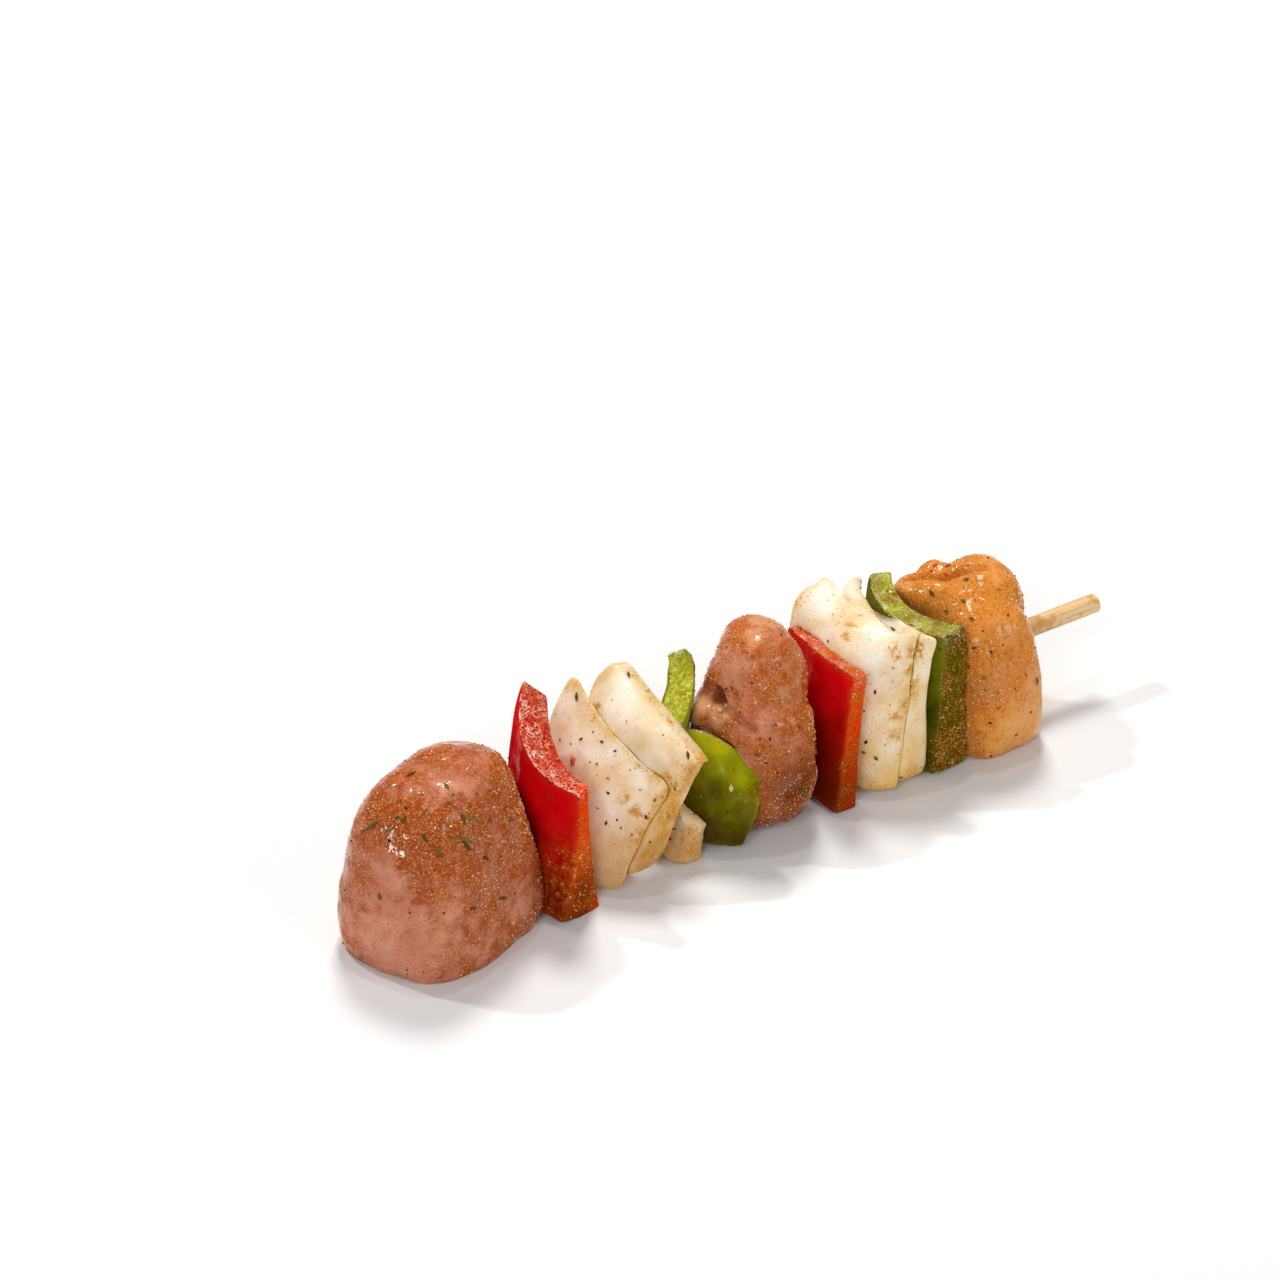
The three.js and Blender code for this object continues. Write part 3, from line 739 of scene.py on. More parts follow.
def onion():
    material, tree, surface = new_material(
        "onion", Specular_IOR_Level=0.12, Subsurface_Weight=0.3, Subsurface_Scale=0.003,
        Subsurface_Radius=(1.0, 0.7, 0.4), Coat_Roughness=0.12, Coat_IOR=1.3)
    place = object_place(tree)
    veins = grain(stretched(place, (0.6, 1, 0.06)), 1.1)
    vein_lines = span(calc("ABSOLUTE", minus(veins, 0.5)), 0.0, 0.035, 0.22, 0.0)
    cloud = grain(place, 9.0, 3.0, 0.55)
    flesh = ramp(cloud, (0.32, 0.84, 0.59, 0.34), (0.47, 0.93, 0.77, 0.54), (0.60, 0.98, 0.91, 0.77))
    veined = blend(vein_lines, flesh, (0.62, 0.55, 0.26, 1))
    seep = grain(place, 6.0, 3.0, 0.6)
    low = times(span(attribute(tree, "upward"), -1.0, 0.3, 1.0, 0.0), span(seep, 0.35, 0.6, 0.2, 0.9))
    warm = blend(low, veined, (0.88, 0.55, 0.16, 1))
    cut = span(attribute(tree, "cut"), 0.3, 0.9)
    fringe = times(attribute(tree, "rim"), span(seep, 0.35, 0.6, 0.3, 0.8))
    fringed = blend(minus(fringe, cut, clamp=True), warm, (0.80, 0.48, 0.10, 1))
    bare = blend(times(cut, 0.22), fringed, (0.84, 0.56, 0.16, 1))
    spice = times(attribute(tree, "spice"), 1.5)
    dusted = use_group(tree, spice_group, Vector=place, Amount=spice, Under=bare, Oil=(0.70, 0.36, 0.04, 1))
    wet = use_group(tree, wet_group, Vector=place, Dry=0.34, Wet=0.18)
    height = plus(times(veins, 0.5), plus(times(wet["Height"], 0.25), times(dusted["Height"], 0.6)))
    # Shade is painted on by mixing towards a dark brown where the shade share is set.
    feed(surface, Base_Color=blend(attribute(tree, "dark"), dusted["Color"], (0.42, 0.17, 0.025, 1)),
         Roughness=plus(wet["Roughness"], times(dusted["Cover"], 0.2)),
         Coat_Weight=times(wet["Coat"], 0.25), Normal=relief(height, 0.22))
    return material


onion_flesh = onion()
for node, leaf, pressed in (
        ("onion_1_outer", ONION_1_OUTER, [("red_pepper_1", -1)]),
        ("onion_1_middle", ONION_1_MIDDLE, [("onion_1_outer", -1)]),
        ("onion_1_inner", ONION_1_INNER, [("onion_1_middle", -1), ("green_pepper_1", 1)]),
        ("onion_2_outer", ONION_2_OUTER, [("red_pepper_2", -1)]),
        ("onion_2_inner", ONION_2_INNER, [("onion_2_outer", -1), ("green_pepper_2", 1)])):
    food.append(add_leaf(node, [leaf], onion_flesh, pressed))

# ---------------------------------------------------------------------------------------------
# Chicken: pieces of raw breast, cut by hand, so soft that they take the shape of what is pressed
# against them. They were rolled in an oily marinade, which has rubbed off here and there.

# A lump is a rounded block: at is its middle, size its half widths, square how boxy it is, swell how
# wavy, taper how much slimmer it is above than below, and turn and lean are its angles in degrees.
# A roll is a fold of meat along a path, with its radius. A facet is a knife cut: its direction, a
# place on it and how soft its edge is. A crease follows a path, with its width and depth, and where
# its path stays at one place it is a dent. spice is how much marinade clings, bare where it has
# rubbed off and also where a side is painted lighter, and thick where it has clotted, with their
# reach. The fat list gives where fat shows and also where highlights and lighter sides are painted
# on, and the painted shade list where shade is painted on as a darker colour, each with its reach
# and share, and fibre is the way of the grain.

CHICKEN_1 = dict(
    lumps=[dict(at=(23.4, 1.4, 18.2), size=(23.2, 17.4, 25.3), square=3.0, swell=0.015, taper=0.17, turn=20)],
    facets=[((-0.31, 0.72, 0.63), (14.3, 6.6, 41.3), 3), ((0.35, 0.44, 0.83), (30, 3, 44.0), 3),
            ((0.89, -0.36, 0.28), (42.9, 0, 25.8), 4)],
    pressed=[("red_pepper_1", 1)],
    creases=[([(6, -6, 33), (14, -13, 27), (20, -15, 18)], 3.0, 0.5)],
    bare=[(3, -8, 9, 12), (10, -14, 8, 10), (20, -6, 43, 6), (36, -9, 14, 7), (4, -7, 24, 5)],
    thick=[(20, -12, 39, 6), (19, -15, 33, 6), (26, -15, 22, 7), (34, -11, 24, 6)],
    # The dark spot is painted shade beside the red pepper.
    dark=[(41, -7, 12, 7, 0.85)], fibre=(0.8, 0.3, 0.5), seed=11, spice=0.56)

CHICKEN_2 = dict(
    lumps=[dict(at=(103.6, 0, 17), size=(12, 16.5, 18), square=2.8, swell=0.02, lean=4, turn=-7),
           dict(at=(105.5, 2.5, 29.5), size=(10.6, 12.3, 16.5), square=2.5, swell=0.02, lean=8)],
    rolls=[([(91.8, 5, 27.5), (93.6, 1, 27.5), (96, -3.5, 26), (98.2, -7.5, 23.2), (99.5, -11, 19)], 3.1)],
    facets=[((-0.64, 0.7, 0.33), (96.8, 4, 42.7), 2.5)],
    pressed=[("green_pepper_1", -1), ("red_pepper_2", 1)],
    creases=[([(96.7, 0, 31.5), (95.8, -2, 30.8), (97.4, -6, 29.3), (98.2, -9.5, 28.6)], 0.9, 2.2),
             ([(100, -13, 12), (106, -15, 16), (113, -14, 17)], 1.2, 0.7),
             ([(97.0, 1.6, 32.2)] * 2, 1.3, 6.0)],
    bare=[(97, -3, 38, 6), (100, -9, 30, 5), (96, 0, 28, 3)],
    # The first four fat spots are the roll's fat, and the three on the dome are painted highlights. The dark
    # spots are painted shade, in the dent and low down.
    fat=[(92.5, 3, 29, 3, 0.85), (94.8, -1, 29, 3, 0.85), (97, -5.5, 26.5, 3, 0.8),
         (99, -9.5, 23, 3, 0.7), (104, 0, 48, 4, 0.7), (110, 4, 43.5, 4, 0.7), (109, -8, 34, 6, 0.4)],
    dark=[(104, -15, 2, 13, 0.85), (94, -10, 4, 9, 0.85), (97.2, 1.6, 31.8, 2.2, 0.85),
          (105, -16, 14, 10, 0.85)],
    thick=[(112, -10, 30, 8), (108, -13, 12, 9), (101, -15, 16, 9), (104, 0, 45, 5)],
    fibre=(0.2, 0.5, 0.85), seed=12, spice=0.48)

CHICKEN_3 = dict(
    lumps=[dict(at=(163.8, 0, 16.8), size=(11.0, 17, 19.0), square=4.0, swell=0.008, taper=0.13, lean=-2),
           dict(at=(168.9, 3.6, 30.0), size=(8.2, 10.5, 8.6), square=2.6, swell=0.015),
           dict(at=(162.5, 13, 32.5), size=(4.5, 4, 4.2), square=2.1, swell=0.08)],
    rolls=[([(156, 12, 31), (158, 7, 32), (161.5, 1, 32.3), (168, -4, 31.5)], 4.6)],
    pressed=[("green_pepper_2", -1)],
    creases=[([(155, 14, 34), (159.5, 10.5, 36), (164, 6.8, 37.2), (169.5, 3.0, 38)], 1.1, 2.4),
             ([(161.5, 12, 36.5)] * 2, 1.6, 0.9)],
    # The bare spots on the near side and the second fat spot paint the right end lighter where light falls on
    # it; the dark spot is painted shade beside the green pepper.
    bare=[(172, 5, 37, 4), (165, -17, 7, 9), (171, -14, 10, 9), (168, -14, 29, 6)],
    thick=[(158, -15, 31, 5), (156, -16, 20, 6)], dark=[(154, -17, 20, 5, 0.3)],
    fat=[(154.5, 12, 32.5, 2.6, 1.0), (172, -14, 9, 7, 0.4)],
    fibre=(0.1, 0.4, 0.9), seed=13, spice=0.68)

FIRST_VOXEL, LAST_VOXEL = 1.0, 0.4
FIRST_SMOOTHING, SECOND_SMOOTHING, LAST_SMOOTHING = 6, 4, 3
BALL_SPACING, PATH_SPACING = 1.5, 0.4
FLOOR_GAP, FIBRE_PULL = 0.02, 0.85


def lump_skin(lump):
    """One rounded block with low waves over it."""
    shape = bmesh.new()
    bmesh.ops.create_icosphere(shape, subdivisions=5, radius=1.0)
    p = np.array([v.co for v in shape.verts])
    faces = [[v.index for v in face.verts] for face in shape.faces]
    shape.free()
    at, size, square = np.array(lump["at"], dtype=float), np.array(lump["size"]), lump["square"]
    waves = np.sin(4.1 * p[:, 0] + 1.3 + at[0]) * np.sin(3.3 * p[:, 1] + 0.4) + np.sin(5.2 * p[:, 2] + at[0])
    power = (np.abs(p) ** square).sum(1) ** (1 / square)
    p = p * ((1 + lump["swell"] * waves) / power)[:, None]
    girth = 1 - lump.get("taper", 0) * p[:, 2]
    p = p * size * np.stack([girth, girth, np.ones_like(girth)], 1)
    lean, turn = math.radians(lump.get("lean", 0)), math.radians(lump.get("turn", 0))
    pose = Matrix.Rotation(lean, 3, "Y") @ Matrix.Rotation(turn, 3, "Z")
    return p @ np.array(pose).T + at, faces, {}


def along(path, step):
    """Places about that far apart along a path."""
    path = np.array(path, dtype=float)
    places = [path[:1]]
    for start, end in zip(path[:-1], path[1:]):
        count = max(1, round(float(np.linalg.norm(end - start)) / step))
        places.append(start + (end - start) * (np.arange(count) + 1)[:, None] / count)
    return np.concatenate(places)


def roll_skins(path, radius):
    """A fold of meat, as overlapping balls that the remesh grows together."""
    ball = dict(size=(radius, radius, radius), square=2, swell=0.05)
    return [lump_skin(dict(ball, at=place)) for place in along(path, BALL_SPACING)]


def away_from(points, path, skin_now):
    """How far each point is from a path, once the path is laid on the skin."""
    places = [skin_now.find_nearest(Vector(place))[0] for place in along(path, PATH_SPACING)]
    tree = kdtree.KDTree(len(places))
    for i, place in enumerate(places):
        tree.insert(place, i)
    tree.balance()
    return np.array([tree.find(point)[2] for point in points])


def trimmed(points, facet):
    """Draws the points beyond a facet back on to it, with a soft edge."""
    normal, place, soft = np.array(facet[0]) / np.linalg.norm(facet[0]), np.array(facet[1]), facet[2]
    out = (points - place) @ normal
    held = np.where(out > soft, 0.0, np.where(out > -soft, -((out - soft) ** 2) / (4 * soft), out))
    return points + (held - out)[:, None] * normal


def evaluated(piece):
    """Turns what a piece's modifiers make into its plain mesh."""
    graph = bpy.context.evaluated_depsgraph_get()
    mesh = bpy.data.meshes.new_from_object(piece.evaluated_get(graph))
    piece.modifiers.clear()
    piece.data = mesh
    return piece


def changed(piece, kind, **settings):
    """A piece after one modifier of that kind."""
    modifier = piece.modifiers.new("change", kind)
    for key, value in settings.items():
        setattr(modifier, key, value)
    return evaluated(piece)


def smooth(piece, turns):
    return changed(piece, "SMOOTH", factor=0.5, iterations=turns)


def remeshed(piece, voxel):
    return changed(piece, "REMESH", mode="VOXEL", voxel_size=voxel * MM)


def vectors(piece, held):
    """The places or normals of a piece's points."""
    found = np.empty(len(piece.data.vertices) * 3)
    piece.data.vertices.foreach_get(held, found)
    return found.reshape(-1, 3)


def read_points(piece):
    return (vectors(piece, "co") - ZERO) / MM


def write_points(piece, points):
    piece.data.vertices.foreach_set("co", placed(points).ravel())
    piece.data.update()


def add_meat(node, cut, material):
    """One piece of meat: its lumps grown together, pressed by its neighbours and roughened."""
    shells = [lump_skin(lump) for lump in cut["lumps"]]
    for path, radius in cut.get("rolls", ()):
        shells += roll_skins(path, radius)
    points, faces, _ = join_shells(shells)
    piece = plain_mesh(node + "_meat", points, faces)
    smooth(remeshed(piece, FIRST_VOXEL), FIRST_SMOOTHING)
    points = read_points(piece)
    for facet in cut.get("facets", ()):
        points = trimmed(points, facet)
    write_points(piece, points)
    smooth(remeshed(piece, LAST_VOXEL), SECOND_SMOOTHING)
    points = read_points(piece)
    for neighbour, side in cut["pressed"]:
        points = press(points, skins[neighbour], side)
    points[:, 2] = np.maximum(points[:, 2], FLOOR_GAP)
    write_points(piece, points)
    smooth(piece, LAST_SMOOTHING)
    points, normals = read_points(piece), vectors(piece, "normal")
    seed = cut["seed"]
    fibre = np.array(cut["fibre"]) / np.linalg.norm(cut["fibre"])
    along_fibre = points - FIBRE_PULL * (points @ fibre)[:, None] * fibre
    rise = (0.7 * waves_at(points, 12.0, seed) + 0.3 * waves_at(points, 5.0, seed + 1)
            + 0.14 * waves_at(along_fibre, 1.8, seed + 2) + 0.05 * waves_at(points, 0.9, seed + 3))
    sides = [tuple(face.vertices) for face in piece.data.polygons]
    skin_now = BVHTree.FromPolygons([tuple(p) for p in points], sides)
    for path, width, depth in cut["creases"]:
        rise -= depth * np.exp(-(away_from(points, path, skin_now) / width) ** 2)
    points = points + normals * rise[:, None]
    points[:, 2] = np.maximum(points[:, 2], 0.0)
    write_points(piece, points)
    piece.data.shade_smooth()
    spice = cut["spice"] + 0.5 * waves_at(points, 9.0, seed + 4) + 0.35 * waves_at(points, 2.8, seed + 5)
    for *middle, reach in cut["thick"]:
        spice += 0.35 * nearness(points, middle, reach)
    for *middle, reach in cut["bare"]:
        spice -= 0.6 * nearness(points, middle, reach)
    # The fat share also paints highlights and lighter sides on, and the shade share is painted shade.
    fat = strongest(points, cut.get("fat", ()), 4)
    give(piece, {"spice": np.clip(spice - fat, 0, 1), "fat": fat, "dark": strongest(points, cut["dark"])})
    keep_skin(node, points, sides)
    return finish_piece(piece, material, node)


def meat(name, flesh, oil):
    """Moist flesh with pale fibres and fat, under an oily film of ground spice, with painted highlights and
    shade.
    """
    material, tree, surface = new_material(
        name, Specular_IOR_Level=0.04, Subsurface_Weight=0.15, Subsurface_Scale=0.003,
        Subsurface_Radius=(1.0, 0.3, 0.15), Coat_Roughness=0.1, Coat_IOR=1.4)
    place = object_place(tree)
    patches = ramp(grain(place, 12.0, 3.0, 0.55), *flesh)
    fibres = grain(stretched(place, (0.15, 1, 1), (0.3, 0.9, 0.4)), 1.2, 3.0, 0.6)
    streaked = blend(span(fibres, 0.5, 0.7, 0.0, 0.3), patches, (0.80, 0.46, 0.32, 1))
    # The fat colour also paints highlights and lighter sides on, where the fat share is set there.
    fatty_and_painted_light = blend(attribute(tree, "fat"), streaked, (0.78, 0.46, 0.18, 1))
    spice = plus(attribute(tree, "spice"), 0.32)
    dusted = use_group(tree, spice_group, Vector=place, Amount=spice, Under=fatty_and_painted_light, Oil=oil)
    wet = use_group(tree, wet_group, Vector=place, Dry=0.3, Wet=0.1)
    folds = times(grain(place, 2.2, 1.0, 0.4, 1.2), 2.0)
    film = plus(times(wet["Height"], 0.8), times(dusted["Height"], 0.5))
    # Shade is painted on by mixing towards a dark brown where the shade share is set.
    feed(surface, Base_Color=blend(attribute(tree, "dark"), dusted["Color"], (0.13, 0.02, 0.002, 1)),
         Roughness=plus(wet["Roughness"], times(dusted["Cover"], 0.12)), Coat_Weight=wet["Coat"],
         Normal=relief(plus(times(plus(fibres, folds), 0.2), film), 0.3))
    return material


PINK = [(0.3, 0.60, 0.22, 0.14), (0.5, 0.72, 0.31, 0.20), (0.7, 0.82, 0.41, 0.27)]
PALE = [(0.3, 0.72, 0.29, 0.07), (0.5, 0.83, 0.39, 0.10), (0.7, 0.91, 0.51, 0.16)]

for node, cut, name, flesh, oil in (
        ("chicken_1", CHICKEN_1, "chicken_first", PINK, (0.36, 0.050, 0.002, 1)),
        ("chicken_2", CHICKEN_2, "chicken_middle", PINK, (0.46, 0.088, 0.004, 1)),
        ("chicken_3", CHICKEN_3, "chicken_last", PALE, (0.66, 0.205, 0.018, 1))):
    food.append(add_meat(node, cut, meat(name, flesh, oil)))

# ---------------------------------------------------------------------------------------------
# Spice and herbs: grains of paprika and mustard, cracked pepper and dried herb leaves, stirred
# into the marinade and stuck wherever it clings. Each kind is one mesh of small solid grains.

FULL_TURN, NEARLY_FLAT = 6.283, (0.06, 0.06, 1.0)


def sprinkle_tree():
    """Geometry Nodes that strew copies of a grain over a surface, most where it is spiced."""
    tree, given, out = tree_group(
        "sprinkle",
        [("Surface", "Geometry", None), ("Grain", "Object", None), ("Material", "Material", None),
         ("Where", "String", "spice"), ("Grains per square metre", "Float", 1e5),
         ("Least spice", "Float", 0.0), ("Smallest", "Float", 0.5), ("Largest", "Float", 1.0),
         ("Flat", "Bool", False), ("Lift", "Float", 0.0), ("Seed", "Int", 1)],
        [("Grains", "Geometry")], "GeometryNodeTree")

    def drawn(low, high, step):
        """A number between two, or a vector between two vectors, drawn by chance for each grain."""
        kind, first, found = ("FLOAT_VECTOR", 0, 0) if isinstance(low, tuple) else ("FLOAT", 2, 1)
        range_and_seed = {first: low, first + 1: high, "Seed": plus(given["Seed"], step)}
        return add(tree, "FunctionNodeRandomValue", range_and_seed, data_type=kind)[found]

    amount = add(tree, "GeometryNodeInputNamedAttribute", {"Name": given["Where"]}, data_type="FLOAT")[0]
    enough = span(amount, given["Least spice"], 1.0)
    spot = add(tree, "GeometryNodeInputPosition", {})[0]
    clusters = span(grain(spot, 3.0, 3.0, 0.65), 0.38, 0.62, 0.2, 2.0)
    strewn = add(tree, "GeometryNodeDistributePointsOnFaces", {
        "Mesh": given["Surface"], "Seed": given["Seed"],
        "Density": times(enough, enough, clusters, given["Grains per square metre"])})
    spin = drawn((0, 0, 0), (FULL_TURN, FULL_TURN, FULL_TURN), 0)
    level_spin = add(tree, "ShaderNodeVectorMath", {0: spin, 1: NEARLY_FLAT}, operation="MULTIPLY")[0]
    turn = add(tree, "GeometryNodeSwitch", {
        "Switch": given["Flat"], "False": spin, "True": level_spin}, input_type="VECTOR")[0]
    turned = add(tree, "FunctionNodeRotateRotation", {
        0: strewn["Rotation"], 1: add(tree, "FunctionNodeEulerToRotation", {0: turn})[0]},
        rotation_space="LOCAL")[0]
    scale, raised = (
        add(tree, "ShaderNodeVectorMath", {0: vector, "Scale": factor}, operation="SCALE")[0]
        for vector, factor in (
            (drawn((0.6, 0.6, 0.6), (1.3, 1.0, 1.0), 7), drawn(given["Smallest"], given["Largest"], 3)),
            (strewn["Normal"], given["Lift"])))
    copies = add(tree, "GeometryNodeInstanceOnPoints", {
        "Points": add(tree, "GeometryNodeSetPosition", {"Geometry": strewn["Points"], "Offset": raised})[0],
        "Instance": add(tree, "GeometryNodeObjectInfo", {"Object": given["Grain"]})["Geometry"],
        "Rotation": turned, "Scale": scale})[0]
    tinted = add(tree, "GeometryNodeStoreNamedAttribute", {
        "Geometry": copies, "Name": "tint", "Value": drawn(0.0, 1.0, 11)},
        data_type="FLOAT", domain="INSTANCE")[0]
    solid = add(tree, "GeometryNodeRealizeInstances", {"Geometry": tinted})[0]
    feed(out, Grains=add(tree, "GeometryNodeSetMaterial", {
        "Geometry": solid, "Material": given["Material"]})[0])
    return tree, {item.name: item.identifier for item in tree.interface.items_tree if item.in_out == "INPUT"}


sprinkle, sprinkle_sockets = sprinkle_tree()


def grain_shape(name, points, faces):
    """A pattern grain, in metres about its own middle, which is copied and not shown itself."""
    mesh = bpy.data.meshes.new(name)
    mesh.from_pydata([tuple(c * MM for c in point) for point in points], [], faces)
    pattern = bpy.data.objects.new(name, mesh)
    bpy.context.scene.collection.objects.link(pattern)
    return pattern


def chip_shape(name, wobble):
    """An eight-sided crumb, a little askew."""
    corners = [(0.5, 0, wobble), (-0.5, wobble, 0), (0, 0.5, -wobble), (wobble, -0.5, 0), (0, wobble, 0.42),
               (-wobble, 0, -0.42)]
    sides = [(0, 2, 4), (2, 1, 4), (1, 3, 4), (3, 0, 4), (2, 0, 5), (1, 2, 5), (3, 1, 5), (0, 3, 5)]
    return grain_shape(name, corners, sides)


def flake_shape(name):
    """A scrap of dried leaf: thin, pointed at both ends and curled along its length."""
    stations = np.linspace(-1, 1, 6)
    points, faces = [], []
    for x in stations:
        half = 0.34 * (1 - abs(x) ** 1.7) + 0.03
        lift = 0.12 * (1 - x * x)
        for y in (-half, 0.0, half):
            curl = 0.10 if y else 0.0
            points.append((x, y, lift + curl + 0.03))
    bottom = len(points)
    points += [(x, y, z - 0.07) for x, y, z in points]
    for i in range(len(stations) - 1):
        for j in range(2):
            a, b = i * 3 + j, (i + 1) * 3 + j
            faces.append((a, b, b + 1, a + 1))
            faces.append((bottom + a, bottom + a + 1, bottom + b + 1, bottom + b))
        a, b = i * 3, (i + 1) * 3
        faces.append((a, bottom + a, bottom + b, b))
        faces.append((a + 2, b + 2, bottom + b + 2, bottom + a + 2))
    last = (len(stations) - 1) * 3
    for j in range(2):
        faces.append((j, j + 1, bottom + j + 1, bottom + j))
        faces.append((last + j + 1, last + j, bottom + last + j, bottom + last + j + 1))
    return grain_shape(name, points, faces)


def grain_material(name, roughness, coat, shine, *tones):
    """Grains that differ in tone from one to the next, mottled within each."""
    material, tree, surface = new_material(
        name, Specular_IOR_Level=shine, Coat_Weight=coat, Coat_Roughness=0.1)
    speck = grain(object_place(tree), 0.4, 2.0, 0.6)
    tone = plus(times(attribute(tree, "tint"), 0.8), times(speck, 0.2))
    feed(surface, Base_Color=ramp(tone, *tones), Normal=relief(speck, 0.05),
         Roughness=span(speck, 0.3, 0.7, roughness * 0.7, roughness * 1.3))
    return material


def strew(name, pattern, material, values):
    """Strews one kind of grain over the food and keeps it as a plain mesh."""
    piece = bpy.data.objects.new(name, skin.data.copy())
    bpy.context.scene.collection.objects.link(piece)
    modifier = piece.modifiers.new("sprinkle", "NODES")
    modifier.node_group = sprinkle
    for key, value in {"Grain": pattern, "Material": material, **values}.items():
        modifier[sprinkle_sockets[key]] = value
    evaluated(piece)
    for face in piece.data.polygons:
        face.material_index = 0
    piece.data.materials.clear()
    return finish_piece(piece, material)


# No grain is strewn where another piece is that close, in millimetres, or as low as that over the
# surface below, and no leaf or speck so near to one that was laid singly.
CLOSE, BARE_BELOW, SPACING = 1.2, 1.2, 5.5


def joined_food():
    """All the food's skins in one, to strew over, with no spice where two pieces press together."""
    shape = bmesh.new()
    for piece in food:
        points, normals = read_points(piece), vectors(piece, "normal")
        others = [skin for name, skin in skins.items() if not piece.name.startswith(name)]
        spice = np.empty(len(points), dtype=np.float32)
        piece.data.attributes["spice"].data.foreach_get("value", spice)
        shown, apart = np.ones((2, len(points)), dtype=np.float32)
        for i, (point, normal) in enumerate(zip(points, normals)):
            start = Vector(point + normal * 0.05)
            if point[2] < BARE_BELOW or any(
                    skin.ray_cast(start, Vector(normal), CLOSE)[0] is not None for skin in others):
                shown[i] = 0.0
            elif laid_already.find(point)[2] < SPACING:
                apart[i] = 0.0
        held = piece.data.copy()
        held.attributes["spice"].data.foreach_set("value", spice * shown)
        held.attributes.new("everywhere", "FLOAT", "POINT").data.foreach_set("value", shown * apart)
        shape.from_mesh(held)
        bpy.data.meshes.remove(held)
    mesh = bpy.data.meshes.new("food_skin")
    shape.to_mesh(mesh)
    shape.free()
    return bpy.data.objects.new("food_skin", mesh)


# What was dropped on singly is given by where it shows in the camera's view, in pixels of its square
# frame: a leaf, stem or seed by its two ends, a speck or crumb by its middle and its size in mm.
VIEW_PIXELS, SENSOR = 1280, 36.0
HERB_LEAVES = [
    (364, 832, 380, 820), (401, 823, 407, 816), (422, 833, 428, 843), (433, 845, 443, 857),
    (461, 812, 465, 825), (466, 817, 478, 821), (449, 839, 460, 838), (460, 838, 472, 843),
    (463, 841, 470, 851), (444, 784, 449, 789), (508, 822, 513, 818), (483, 856, 488, 860),
    (379, 893, 381, 900), (470, 909, 476, 907), (500, 899, 506, 897), (386, 832, 394, 828),
    (577, 692, 577, 702), (687, 751, 688, 760), (627, 672, 629, 678), (735, 693, 739, 694),
    (755, 754, 760, 755), (799, 789, 804, 791), (929, 590, 935, 597), (961, 600, 966, 603),
    (945, 611, 949, 612), (969, 618, 974, 620), (1036, 677, 1037, 685), (874, 756, 878, 760),
    (862, 751, 866, 753), (957, 730, 965, 733), (438, 851, 443, 858), (447, 802, 450, 805),
    (395, 819, 399, 817), (600, 741, 604, 743), (982, 676, 986, 679)]
HERB_STEMS = [(428, 806, 421, 818)]
SEEDS = [(731, 784, 731, 792)]
PEPPER_SPECKS = [
    (406, 808, 1.0), (367, 811, 0.7), (453, 795, 0.8), (490, 791, 0.8), (476, 794, 0.7), (422, 795, 0.7),
    (390, 841, 1.0), (410, 913, 0.9), (444, 913, 0.8), (515, 893, 0.9), (524, 875, 0.7), (537, 876, 0.7),
    (413, 876, 0.6), (435, 870, 0.7), (524, 851, 0.7), (510, 847, 0.7), (501, 857, 0.7), (388, 840, 0.8),
    (430, 820, 0.6), (484, 857, 0.9), (401, 802, 0.6), (470, 765, 0.6), (492, 768, 0.6), (505, 800, 0.6),
    (581, 739, 1.2), (593, 732, 0.7), (560, 740, 0.9), (571, 744, 0.8), (615, 751, 1.0), (608, 793, 1.2),
    (646, 817, 1.3), (617, 820, 0.9), (606, 823, 1.3), (621, 828, 0.8), (650, 842, 1.0), (670, 839, 1.1),
    (675, 789, 0.9), (590, 762, 0.6), (585, 790, 0.6), (597, 808, 0.7), (630, 770, 0.6), (640, 790, 0.7),
    (655, 800, 0.7), (632, 835, 0.8), (612, 700, 0.6), (663, 735, 0.6), (690, 772, 0.6), (781, 635, 1.0),
    (752, 683, 1.1), (726, 689, 1.1), (732, 688, 1.0), (740, 712, 0.8), (776, 725, 1.0), (770, 739, 1.2),
    (760, 739, 0.9), (799, 727, 1.1), (766, 763, 0.9), (778, 773, 0.8), (801, 760, 0.7), (748, 723, 0.7),
    (787, 797, 0.7), (790, 700, 0.6), (875, 692, 1.3), (864, 711, 0.8), (866, 742, 1.4), (860, 728, 0.7),
    (890, 705, 0.5), (870, 640, 0.5), (893, 668, 0.6), (900, 750, 0.6), (885, 745, 0.6), (983, 631, 0.8),
    (974, 648, 1.4), (991, 652, 1.2), (969, 667, 1.2), (988, 558, 1.0), (1026, 675, 0.8),
    (1015, 689, 0.8), (990, 723, 1.2), (998, 708, 0.8), (1031, 712, 1.0), (1016, 735, 1.1),
    (1008, 615, 0.9), (998, 693, 0.7), (1003, 645, 0.8), (960, 610, 0.6), (1000, 590, 0.6),
    (975, 600, 0.7), (985, 690, 0.7), (1010, 660, 0.6)]
GARLIC_CRUMBS = [(720, 711, 1.6), (726, 706, 1.1), (647, 690, 1.4), (941, 563, 1.3), (953, 570, 1.1)]
CHILLI_FLAKES = [
    (573, 760, 2.2), (573, 764, 1.6), (608, 778, 1.0), (597, 764, 0.9), (935, 565, 1.4), (948, 566, 1.5),
    (946, 574, 1.3), (931, 571, 1.1)]


def view_ray(across, down):
    """The way from the camera through a pixel of its frame."""
    reach = SENSOR / 2 / VIEW_LENS
    sideways, upwards = 2 * across / VIEW_PIXELS - 1, 1 - 2 * down / VIEW_PIXELS
    return np.array(right * reach * sideways + up * reach * upwards - back)


def seen_at(across, down):
    """The place on the food that shows at a pixel, and which way is out there."""
    ray = Vector(view_ray(across, down))
    hits = [skin.ray_cast(Vector(EYE), ray) for skin in skins.values()]
    found = min((hit for hit in hits if hit[0] is not None), key=lambda hit: hit[3])
    return np.array(found[0]), np.array(found[1])


